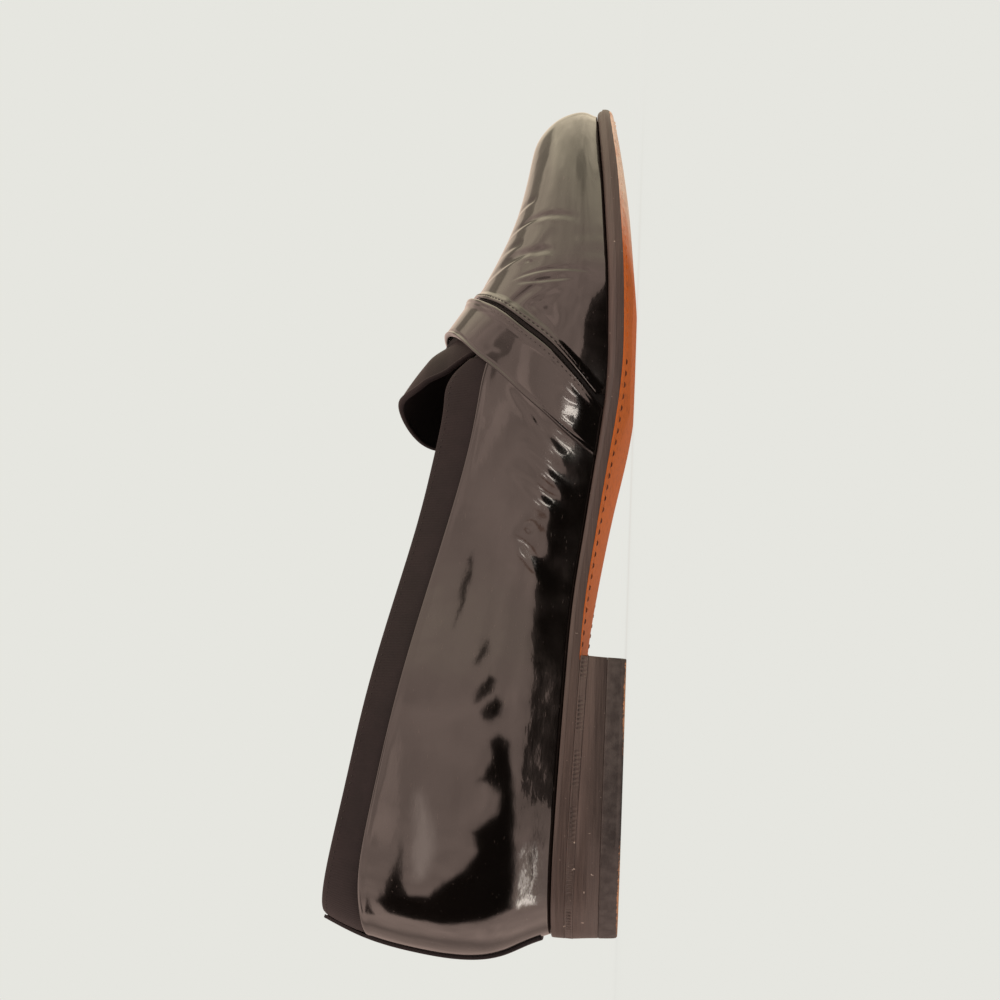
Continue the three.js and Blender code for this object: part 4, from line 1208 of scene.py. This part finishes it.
def make_outsole():
    """The edge is a ring of section rows. Below, two more rings run in to the stitched channel,
    a shallow V, and a cover closes the middle."""
    rows = outline_ring(outsole_section)
    channel = outline_ring(lambda turns: [
        (bevel_at(turns) + 0.4, 0.0), (CHANNEL_INSET - 1.0, 0.0), (CHANNEL_INSET - 0.5, 0.02),
        (CHANNEL_INSET, CHANNEL_DEPTH), (CHANNEL_INSET + 0.5, 0.02), (CHANNEL_INSET + 1.0, 0.0)])
    bottom = outline_cover(CHANNEL_INSET + 1.0, underside)
    top = outline_cover(0.03, lambda x, y: underside(x, y) + OUTSOLE_THICKNESS)
    turns = 2 * HALF_TURN * np.arange(SOLE_COLUMNS) / SOLE_COLUMNS
    heel = 1 - smooth_step((along_of(turns) - 0.27) / 0.02)
    climb = np.linspace(0, 1, len(rows))[:, None]
    ink = np.maximum(smooth_step((climb - INK_FROM) / INK_FADE), heel[None]).ravel()
    rest = channel.size // 3 + bottom.size // 3
    ink = np.concatenate([ink, np.zeros(rest), np.ones(top.size // 3)])
    return slab("outsole", [rows, channel], [bottom, top], sole_leather,
                ["outsole"], {"ink": ink})


outsole = make_outsole()


def welt_section(turns):
    """Blackened side, a rounded shoulder, then the top of the welt rising to the upper."""
    out = WELT_PROJECTION * last["welt"](turns)
    lift = WELT_LIFT * last["lift"](turns)
    base = OUTSOLE_THICKNESS + 0.01
    pared = 0.8 * smooth_step((along_of(turns) - 0.86) / 0.13)
    return [
        (out + 1.9, base), (0.03, base), (0.0, base + 0.03), (0.0, base + 0.12),
        (0.0, base + 0.5), (0.05 * out + 0.2 * pared, BAND - 0.25 + 0.1 * lift - pared),
        (0.16 * out + 0.2 * pared, BAND - 0.02 + 0.3 * lift - pared),
        (0.32 * out, BAND + 0.6 * lift - 0.7 * pared), (0.55 * out, BAND + 0.88 * lift - 0.4 * pared),
        (0.8 * out, BAND + lift - 0.1 * pared), (out + 1.9, BAND + lift),
    ]


def make_welt():
    return band("welt", outline_ring(welt_section), edge_leather, ["welt"],
                close_columns=True)


welt = make_welt()


def make_insole():
    inset = WELT_PROJECTION + UPPER_WALL + FIT
    base = OUTSOLE_THICKNESS + FIT
    top = base + INSOLE_THICKNESS
    rows = outline_ring(lambda turns: [(inset, base), (inset, top - 0.5), (inset + 0.3, top)])
    covers = [outline_cover(inset, lambda x, y: underside(x, y) + base),
              outline_cover(inset + 0.3, lambda x, y: underside(x, y) + top)]
    return slab("sock_lining", [rows], covers, lining_leather, ["insole"])


sock_lining = make_insole()

# %% [markdown]
# ## The heel
# The heel is built from lifts: a rand marked by a hot fudge wheel, the stack of leather lifts,
# and a rubber top piece. Each is the outline's back part, closed by the hollow breast. Averaging
# each point of the loop with its neighbours rounds the two corners of the breast.

# %% Heel
BREAST_TURN = turn_of(HEEL_LENGTH / LENGTH)
MARK_PITCH = 1.35
WORN_RIM = 1.6
MARK_DEPTH = 0.30


def heel_loop(inset, spacing=0.35, rounding=1.1):
    turns = np.linspace(BREAST_TURN, -BREAST_TURN, 1200)
    sides = outline_point(turns, inset + 0 * turns)
    share = np.linspace(0, 1, 200)[1:-1, None]
    breast = sides[-1] + (sides[0] - sides[-1]) * share
    breast[:, 0] -= BREAST_HOLLOW * (4 * share * (1 - share))[:, 0]
    loop = np.concatenate([sides, breast, sides[:1]])
    length = np.concatenate([[0], np.cumsum(np.linalg.norm(np.diff(loop, axis=0), axis=1))])
    count = int(length[-1] / spacing)
    at = np.linspace(0, length[-1], count, endpoint=False)
    even = np.stack([np.interp(at, length, loop[:, k]) for k in range(2)], -1)
    reach = int(rounding / spacing)
    for _ in range(2):
        even = np.mean([np.roll(even, k, axis=0) for k in range(-reach, reach + 1)], axis=0)
    return even, at


def heel_layer(name, rows, material, nodes, spacing=0.35):
    """Loops at several insets and heights, closed by a flat face below and above. A row that
    ends in True has wheel marks."""
    loops = []
    for inset, height, *marked in rows:
        plan, at = heel_loop(inset, spacing)
        inward = np.roll(plan, -1, axis=0) - np.roll(plan, 1, axis=0)
        inward = np.column_stack([inward[:, 1], -inward[:, 0]])
        inward /= np.linalg.norm(inward, axis=1, keepdims=True)
        if any(marked):
            plan = plan - inward * wheel_marks(plan, at, height)[:, None]
        z = height(plan[:, 0], plan[:, 1]) if callable(height) else np.full(len(plan), float(height))
        loops.append(np.column_stack([plan, z]))
    count = min(len(loop) for loop in loops)
    loops = np.stack([loop[np.linspace(0, len(loop), count, endpoint=False).astype(int)] for loop in loops])
    faces = grid_quads(len(loops), count, False, True).tolist()
    faces.append(list(range(count))[::-1])
    faces.append(list(range((len(loops) - 1) * count, len(loops) * count)))
    wear = smooth_step(1 - loops[..., 2] / WORN_RIM) * (0.75 + 0.25 * np.sin(loops[..., 0] / 9))
    return build_piece(name, loops, faces, material, nodes, {"wear": wear})


def rand_top(x, y):
    return np.maximum(underside(x, y), 0) - 0.05


def rand_foot(x, y):
    return rand_top(x, y) - RAND_THICKNESS


def wheel_marks(plan, at, height):
    """Grooves of the fudge wheel: a sharpened sine along the edge, in groups where the wheel
    pressed harder."""
    wave = 0.5 + 0.5 * np.cos(2 * np.pi * at / MARK_PITCH)
    press = smooth_step(0.95 + 1.1 * np.sin(at / 2.55 + 0.6))
    return -MARK_DEPTH * wave**2 * press


def rand_row(inset, share, marks=False):
    """One loop of the rand at a share of its height."""
    return inset, lambda x, y: rand_foot(x, y) * (1 - share) + rand_top(x, y) * share, marks


heel_rand = heel_layer("heel_rand", [
    rand_row(0.08, 0.0), rand_row(0.0, 0.03), rand_row(0.0, 0.14), rand_row(0.0, 0.22, True),
    rand_row(0.0, 0.5, True), rand_row(0.0, 0.74, True), rand_row(0.0, 0.82),
    rand_row(0.0, 0.97), rand_row(0.08, 1.0),
], edge_leather, ["heel_rand"], spacing=0.23)
heel_stack = heel_layer("heel_stack", [
    (HEEL_TAPER, TOP_PIECE_THICKNESS + 0.04), (HEEL_TAPER - 0.12, TOP_PIECE_THICKNESS + 0.2),
    (0.45, lambda x, y: (rand_foot(x, y) + TOP_PIECE_THICKNESS) / 2),
    (0.06, lambda x, y: rand_foot(x, y) - 0.08), (0.14, lambda x, y: rand_foot(x, y) - 0.01),
], edge_leather, ["heel_stack"])
heel_top_piece = heel_layer("heel_top_piece", [
    (HEEL_TAPER + 1.1, 0.0), (HEEL_TAPER + 0.6, 0.12), (HEEL_TAPER + 0.35, 0.45),
    (HEEL_TAPER + 0.2, 1.0), (HEEL_TAPER + 0.12, 1.7), (HEEL_TAPER, 3.0),
    (HEEL_TAPER - 0.15, TOP_PIECE_THICKNESS - 0.5), (HEEL_TAPER - 0.1, TOP_PIECE_THICKNESS - 0.1),
    (HEEL_TAPER, TOP_PIECE_THICKNESS),
], rubber, ["heel_top_piece"])

# %% [markdown]
# ## Stitches
# Lockstitches lie in rows beside the groove and along the collar, and heavier ones hold the
# outsole in a shallow channel. One stitch is a small spindle, six faces round and five along,
# that dives at both ends. Copies of it are set at equal steps along a path and joined.

# %% Stitches
STITCH_SIDES = 6
STITCH_PROFILE = table("along radius dive", [
    (-0.50, 0.15, 1.00), (-0.40, 0.75, 0.55), (-0.18, 1.00, 0.10), (0.18, 1.00, 0.10),
    (0.40, 0.75, 0.55), (0.50, 0.15, 1.00),
])


def stitch_row(name, paths, pitch, length, radius, material, slot, sink=0.0):
    """Spindles along several paths. Each path is (points, normals): a spindle's ring lies at
    centre + tangent x share of the length + radius x circle - normal x dive."""
    centres, tangents, normals = [], [], []
    for points, normal in paths:
        steps = np.linalg.norm(np.diff(points, axis=0), axis=-1)
        at = np.concatenate([[0], np.cumsum(steps)])
        stops = np.arange(pitch / 2, at[-1], pitch)
        pick = [np.stack([np.interp(stops, at, a[:, k]) for k in range(3)], -1)
                for a in (points, np.gradient(points, axis=0), normal)]
        centres.append(pick[0])
        tangents.append(pick[1])
        normals.append(pick[2])
    centre, tangent, normal = (np.concatenate(a)[:, None, None] for a in (centres, tangents, normals))
    tangent = tangent / np.linalg.norm(tangent, axis=-1, keepdims=True)
    normal = normal - tangent * (normal * tangent).sum(-1, keepdims=True)
    normal = normal / np.linalg.norm(normal, axis=-1, keepdims=True)
    aside = np.cross(tangent, normal)
    along, thick, dive = (STITCH_PROFILE[k][None, :, None, None] for k in ("along", "radius", "dive"))
    angle = 2 * np.pi * np.arange(STITCH_SIDES) / STITCH_SIDES
    angle = angle[None, None, :, None]
    points = centre + tangent * along * length - normal * (sink + dive * radius * 1.3) \
        + radius * thick * (np.cos(angle) * aside + np.sin(angle) * normal)
    count, rings, sides = points.shape[:3]
    one = grid_quads(rings, sides, False, True)
    faces = (one[None] + np.arange(count)[:, None, None] * rings * sides).reshape(-1, 4).tolist()
    ends = np.arange(count)[:, None] * rings * sides + np.arange(sides)[None, :]
    faces += ends[:, ::-1].tolist() + (ends + (rings - 1) * sides).tolist()
    return build_piece(name, points, faces, material)


def upper_path(line, height, low=0.07):
    """Path from the inner foot over the comb to the outer foot along a side-view line, at a
    height over the last."""
    climbs = np.linspace(low, TOP, 260)
    halves = []
    for side in (1, -1):
        turn = side * turn_where(line, climbs, side)
        base = last_point(turn, climbs)
        normal = last_normal(turn, climbs)
        halves.append((base + normal * (height + upper_relief(base))[:, None], normal))
    return tuple(np.concatenate([a, b[::-1][1:]]) for a, b in zip(*halves))


UPPER_STITCH = (2.0, 1.45, 0.24)
strap_stitches = stitch_row(
    "strap_stitches", [upper_path(lambda p: strap_front(p) - 2.15, FIT + STRAP_WALL + 0.50)],
    *UPPER_STITCH, thread, "edge_leather")
vamp_stitches = stitch_row(
    "vamp_stitches", [upper_path(lambda p: vamp_edge(p) + 1.9, 0.80)],
    *UPPER_STITCH, thread, "edge_leather")


def collar_path(below, height):
    """Path round the collar, a distance below the topline."""
    reach = turn_of(COLLAR_END) * 0.985
    turns = np.linspace(-reach, reach, 700)
    climb = climb_where(lambda p: over_topline(p) + below, turns)
    base = last_point(turns, climb)
    normal = last_normal(turns, climb)
    return base + normal * height, normal


collar_stitches = stitch_row("collar_stitches", [collar_path(1.5, -0.10)], 2.1, 0.8, 0.20,
                             thread, "grosgrain")


WORN_FROM = turn_of(0.62)
WORN_TO = turn_of(0.97)


def channel_path(side, first, final):
    turns = side * np.linspace(first, final, 900)
    plan = outline_point(turns, CHANNEL_INSET + 0 * turns)
    height = np.maximum(underside(plan[:, 0], plan[:, 1]) + 0.02, 0.42)
    return np.column_stack([plan, height]), np.tile([0.0, 0.0, -1.0], (len(turns), 1))


sole_thread = plain("waxed_sole_thread", "#4E2412", "#713B1E", 0.5, 2.0)
sole_stitches = stitch_row(
    "sole_stitches", [channel_path(side, BREAST_TURN + 0.02, WORN_FROM) for side in (1, -1)],
    3.8, 2.5, 0.5, sole_thread, "sole_leather")
worn_stitches = stitch_row(
    "worn_stitches", [channel_path(side, WORN_FROM, WORN_TO) for side in (1, -1)],
    3.8, 2.7, 0.42, sole_leather, "sole_leather")

# %% [markdown]
# ## Floor, light and camera
# The photograph was taken from low down, level with the floor, at the inner side of the shoe,
# with the camera turned on its side. A pale floor runs up into a pale wall. Black patent shows
# what stands round it, so broad soft lights give it its warm grey.

# %% Stage and camera
CAMERA_AT = np.array([32.7, -350.0, 2.6])
CAMERA_FOCUS = 1042.6
CAMERA_ROLL = 1.94
BACKDROP = "#E6E6E0"


def stage_material():
    """The floor glows a little, so that it is as pale as the backdrop and lights the sole."""
    material, shader = new_material("pale_floor", base_color=linear("#4B565C"), roughness=1.0,
                                    specular_ior_level=0.0)
    shader.inputs["Emission Color"].default_value = linear(BACKDROP)
    shader.inputs["Emission Strength"].default_value = 0.90
    return material


def make_floor():
    mesh = bpy.data.meshes.new("floor")
    corners = [(-4, -4, 0), (4, -4, 0), (4, 4, 0), (-4, 4, 0)]
    mesh.from_pydata(corners, [], [(0, 1, 2, 3)])
    mesh.materials.append(stage_material())
    floor = bpy.data.objects.new("floor", mesh)
    bpy.context.scene.collection.objects.link(floor)
    floor.visible_glossy = False
    return floor


floor = make_floor()


# Softly edged patches of the room that the patent mirrors, by direction in degrees: heading 0 is
# the camera's side and 90 the toe's. Wide and tall are radii; light scales the room there.
PATCHES = table("heading climb wide tall light", [
    (58, 2, 10, 15, 0.66), (119, 37, 8, 12, 0.5),
    (4, 44, 9, 5, 0.45), (150, 20, 40, 60, 0.55), (-150, 10, 40, 40, 0.35),
])
LAMPS = table("heading climb wide tall light", [
    (-8, 27, 20.0, 3.0, 1.3),
])
ROOM_LIGHT = "#FFDECF"
ROOM_STRENGTH = 1.35
TOE_LIGHT = "#FFEED0"
TOE_STRENGTH = 1.7


def make_world():
    """A soft room: warm light above a wavy horizon, dark below it, with patches and lamps. The
    camera sees the plain pale backdrop instead."""
    world = bpy.data.worlds.new("soft_room")
    bpy.context.scene.world = world
    world.use_nodes = True
    background = world.node_tree.nodes["Background"]
    place = add_node(world, "ShaderNodeTexCoord").outputs["Generated"]
    wave = add_node(world, "ShaderNodeTexNoise", {"Scale": 6.0, "Detail": 4.0}, {"Vector": place})
    centred = add_node(world, "ShaderNodeVectorMath", {"operation": "SUBTRACT", 1: (0.5,) * 3},
                       {0: wave.outputs["Color"]})
    shift = add_node(world, "ShaderNodeVectorMath", {"operation": "MULTIPLY_ADD", 1: (0.10,) * 3},
                     {0: centred.outputs[0], 2: place})
    heading = add_node(world, "ShaderNodeSeparateXYZ", links={0: shift.outputs[0]})
    light = add_node(world, "ShaderNodeMapRange", {"interpolation_type": "SMOOTHSTEP",
                     "From Min": -0.66, "From Max": -0.52, "To Min": 0.02, "To Max": 1.0},
                     {"Value": heading.outputs["Z"]}).outputs[0]

    def patch(heading, climb, wide, tall):
        heading, climb, wide, tall = np.radians([heading, climb, wide, tall])
        centre = (np.sin(heading) * np.cos(climb), -np.cos(heading) * np.cos(climb), np.sin(climb))
        local = add_node(world, "ShaderNodeMapping", {"vector_type": "TEXTURE", "Location": centre,
                         "Rotation": (0, 0, heading), "Scale": (wide, 1, tall)},
                         {"Vector": shift.outputs[0]})
        away = add_node(world, "ShaderNodeVectorMath", {"operation": "LENGTH"},
                        {0: local.outputs[0]})
        return add_node(world, "ShaderNodeMapRange", {"interpolation_type": "SMOOTHSTEP",
                        "From Min": 1.15, "From Max": 0.75, "To Min": 0.0, "To Max": 1.0},
                        {"Value": away.outputs["Value"]}).outputs[0]

    for *where, dark in zip(*PATCHES.values()):
        dimmed = add_node(world, "ShaderNodeMath", {"operation": "MULTIPLY", 1: dark},
                          {0: light}).outputs[0]
        light = add_node(world, "ShaderNodeMix", links={0: patch(*where), 2: light,
                                                        3: dimmed}).outputs[0]
    for *where, bright in zip(*LAMPS.values()):
        light = add_node(world, "ShaderNodeMix", {3: bright},
                         {0: patch(*where), 2: light}).outputs[0]
    mottle = add_node(world, "ShaderNodeMapRange", {"From Min": 0.3, "From Max": 0.7,
                      "To Min": 0.82, "To Max": 1.14}, {"Value": wave.outputs[0]})
    light = add_node(world, "ShaderNodeMath", {"operation": "MULTIPLY"},
                     {0: light, 1: mottle.outputs[0]}).outputs[0]
    front = add_node(world, "ShaderNodeMapRange", {"interpolation_type": "SMOOTHSTEP",
                     "From Min": 0.35, "From Max": 0.85}, {"Value": heading.outputs["X"]})
    colour = add_node(world, "ShaderNodeMix", {"data_type": "RGBA", 6: linear(ROOM_LIGHT),
                      7: linear(TOE_LIGHT)}, {0: front.outputs[0]})
    strength = add_node(world, "ShaderNodeMapRange", {"To Min": ROOM_STRENGTH,
                        "To Max": TOE_STRENGTH}, {"Value": front.outputs[0]})
    light = add_node(world, "ShaderNodeMath", {"operation": "MULTIPLY"},
                     {0: light, 1: strength.outputs[0]}).outputs[0]
    scaled = add_node(world, "ShaderNodeVectorMath", {"operation": "SCALE"},
                      {0: colour.outputs[2], 3: light})
    seen = add_node(world, "ShaderNodeLightPath").outputs["Is Camera Ray"]
    final = add_node(world, "ShaderNodeMix", {"data_type": "RGBA", 7: linear(BACKDROP)},
                     {0: seen, 6: scaled.outputs[0]})
    world.node_tree.links.new(final.outputs[2], background.inputs[0])
    bpy.context.scene.view_settings.view_transform = "Standard"
    return world


room = make_world()


# %% [markdown]
# ## Cards that only reflections see
# A photographer shapes the gleam of patent leather with black and white cards out of shot. The
# floor card lies before the inner side. The others are drawn as outlines on the shoe, in turn and
# climb of the last, and stand where the camera's line mirrors them, with soft edges.

# %% Cards
BLACK_CARD = [(-118, -30), (-60, -12), (60, -16), (76, -34), (76, -70), (62, -96), (34, -122),
              (0, -108), (-31, -96), (-77, -103), (-100, -98), (-117, -84)]
STROKES = [
    [(1.370, .404), (1.310, .391), (1.244, .386), (1.188, .400), (1.150, .415), (1.209, .424),
     (1.265, .426), (1.317, .435)],
    [(1.160, .266), (1.122, .262), (1.083, .288), (1.073, .313), (1.108, .313), (1.139, .299)],
    [(1.097, .235), (1.069, .244), (1.052, .208), (1.020, .228), (0.999, .262), (0.986, .295),
     (1.024, .290), (1.048, .266), (1.080, .253)],
    [(1.027, .217), (1.006, .179), (0.964, .184), (0.944, .215), (0.944, .255), (0.972, .266),
     (0.999, .248)],
    [(0.909, .228), (0.930, .193), (0.909, .148), (0.835, .128), (0.755, .110), (0.605, .097),
     (0.461, .097), (0.384, .101), (0.350, .175), (0.315, .333), (0.322, .469), (0.336, .526),
     (0.381, .558), (0.472, .524), (0.545, .491), (0.664, .471), (0.584, .455), (0.482, .457),
     (0.437, .431), (0.444, .373), (0.496, .333), (0.545, .270), (0.605, .230), (0.657, .255),
     (0.685, .226), (0.716, .179), (0.765, .175), (0.790, .213), (0.783, .266), (0.821, .228),
     (0.863, .215)],
    [(0.482, .609), (0.416, .593), (0.356, .571), (0.308, .558), (0.290, .598), (0.388, .613)],
]
COUNTER_GLEAMS = [
    [(0.640, .078), (0.600, .058), (0.540, .050), (0.480, .052), (0.425, .062), (0.372, .088),
     (0.400, .092), (0.450, .074), (0.510, .064), (0.580, .072)],
]
GLEAMS = [
    [(1.740, .170), (1.734, .139), (1.715, .106), (1.693, .088), (1.688, .117), (1.706, .152)],
    [(1.663, .184), (1.663, .159), (1.645, .135), (1.620, .112), (1.614, .139), (1.633, .164)],
    [(1.499, .217), (1.506, .190), (1.489, .178), (1.485, .204)],
]
WARM_PATCH = [(1.405, .244), (1.415, .188), (1.405, .157), (1.380, .137), (1.363, .146),
              (1.331, .161), (1.352, .184), (1.380, .217)]
SOFT_WINDOW = [(0.758, .462), (0.790, .417), (0.681, .353), (0.594, .337), (0.496, .364),
               (0.458, .424), (0.524, .449), (0.643, .451)]
SHARES_TO_MM = np.array([110.0, 98.0])
SHEET_CELL = 0.7
SHEET_DISTANCE = 60.0


def card_material(name, colour, strength):
    """Plain paper that glows or not, and fades out where the card's own density falls."""
    material, shader = new_material(name, base_color=linear("#000000"), roughness=1.0,
                                    specular_ior_level=0.0)
    shader.inputs["Emission Color"].default_value = linear(colour)
    shader.inputs["Emission Strength"].default_value = strength
    density = add_node(material, "ShaderNodeAttribute", {"attribute_name": "cover"})
    link(material, density.outputs["Fac"], shader.inputs["Alpha"])
    return material


def depth_inside(outline, points):
    """Distance from each point to the outline, positive inside it and negative outside."""
    side = np.roll(outline, -1, axis=0) - outline
    away = points[..., None, :] - outline
    share = np.clip((away * side).sum(-1) / (side ** 2).sum(-1), 0, 1)
    distance = np.linalg.norm(away - share[..., None] * side, axis=-1).min(-1)
    rise = np.where(side[:, 1] == 0, 1e-9, side[:, 1])
    passed = (away[..., 1] < 0) != (away[..., 1] - side[:, 1] < 0)
    left_of = away[..., 0] < away[..., 1] / rise * side[:, 0]
    return np.where((passed & left_of).sum(-1) % 2 == 1, distance, -distance)


def stage_card(name, points, faces, density, material):
    mesh = bpy.data.meshes.new(name)
    mesh.from_pydata((np.asarray(points, float) * MM).tolist(), [], faces)
    mesh.attributes.new("cover", "FLOAT", "POINT").data.foreach_set(
        "value", np.asarray(density, np.float32))
    mesh.materials.append(material)
    card = bpy.data.objects.new(name, mesh)
    bpy.context.scene.collection.objects.link(card)
    for sight in ("camera", "diffuse", "shadow", "transmission"):
        setattr(card, "visible_" + sight, False)
    return card


def mirrored_cards(name, outlines, material, soft, height):
    """Points inside each outline go from the shoe along the mirrored line of sight, as far as
    the distance or down to the height, whichever comes first."""
    points, faces, density, count = [], [], [], 0
    for outline in (np.array(o) for o in outlines):
        low, high = outline.min(0), outline.max(0)
        steps = np.ceil((high - low) * SHARES_TO_MM / SHEET_CELL).astype(int) + 2
        turn, climb = np.meshgrid(np.linspace(low[0], high[0], steps[0]),
                                  np.linspace(low[1], high[1], steps[1]))
        depth = depth_inside(outline * SHARES_TO_MM, np.stack([turn, climb], -1) * SHARES_TO_MM)
        place, normal = last_point(turn, climb), last_normal(turn, climb)
        ray = place - CAMERA_AT
        ray /= np.linalg.norm(ray, axis=-1, keepdims=True)
        mirror = ray - 2 * (ray * normal).sum(-1, keepdims=True) * normal
        fall = np.minimum(mirror[..., 2], -1e-6)
        reach = np.minimum((height - place[..., 2]) / fall, SHEET_DISTANCE)
        points.append((place + mirror * reach[..., None] + ORIGIN).reshape(-1, 3))
        density.append(smooth_step(depth / soft).ravel())
        quads = grid_quads(*turn.shape, False, False)
        faces += (quads[(density[-1][quads] > 0).any(1)] + count).tolist()
        count += turn.size
    return stage_card(name, np.concatenate(points), faces, np.concatenate(density), material)


black_paper = card_material("black_card_paper", "#000000", 0.0)
dark_card = stage_card("dark_card", [(x, y, 1.5) for x, y in BLACK_CARD],
                       [list(range(len(BLACK_CARD)))], [1.0] * len(BLACK_CARD), black_paper)
dark_strokes = mirrored_cards("dark_strokes", STROKES, black_paper, 1.7, 1.5)
bright_slips = mirrored_cards("bright_slips", GLEAMS, card_material("bright_slip", "#FFF4E8", 13.0),
                              0.6, 3.5)
counter_slip = mirrored_cards("counter_slip", COUNTER_GLEAMS,
                              card_material("soft_slip", "#FFF4E8", 15.0), 0.7, 9.0)
soft_window = mirrored_cards("soft_window", [SOFT_WINDOW],
                             card_material("window_paper", "#FFE4D6", 2.3), 5.0, 3.0)
warm_card = mirrored_cards("warm_card", [WARM_PATCH], card_material("warm_paper", "#FFBC9B", 0.6),
                           1.0, 3.0)


# %% Camera
def make_camera():
    """The camera stands where the photograph's did and aims at the middle of the shoe."""
    at = (Vector(CAMERA_AT) + Vector(ORIGIN)) * MM
    middle = (cad_box[0] + cad_box[1]) / 2
    ahead = (middle - at).normalized()
    level = Vector((ahead.y, -ahead.x, 0)).normalized()
    over = level.cross(ahead)
    roll = np.radians(CAMERA_ROLL)
    top = level * np.cos(roll) + over * np.sin(roll)
    right = ahead.cross(top)
    data = bpy.data.cameras.new("camera")
    data.sensor_width = 36
    data.lens = CAMERA_FOCUS / 1000 * 36
    data.clip_start = 0.001
    camera = bpy.data.objects.new("camera", data)
    camera.matrix_world = Matrix.Translation(at) @ Matrix([right, top, -ahead]).transposed().to_4x4()
    bpy.context.scene.collection.objects.link(camera)
    bpy.context.scene.camera = camera
    return camera


camera = make_camera()
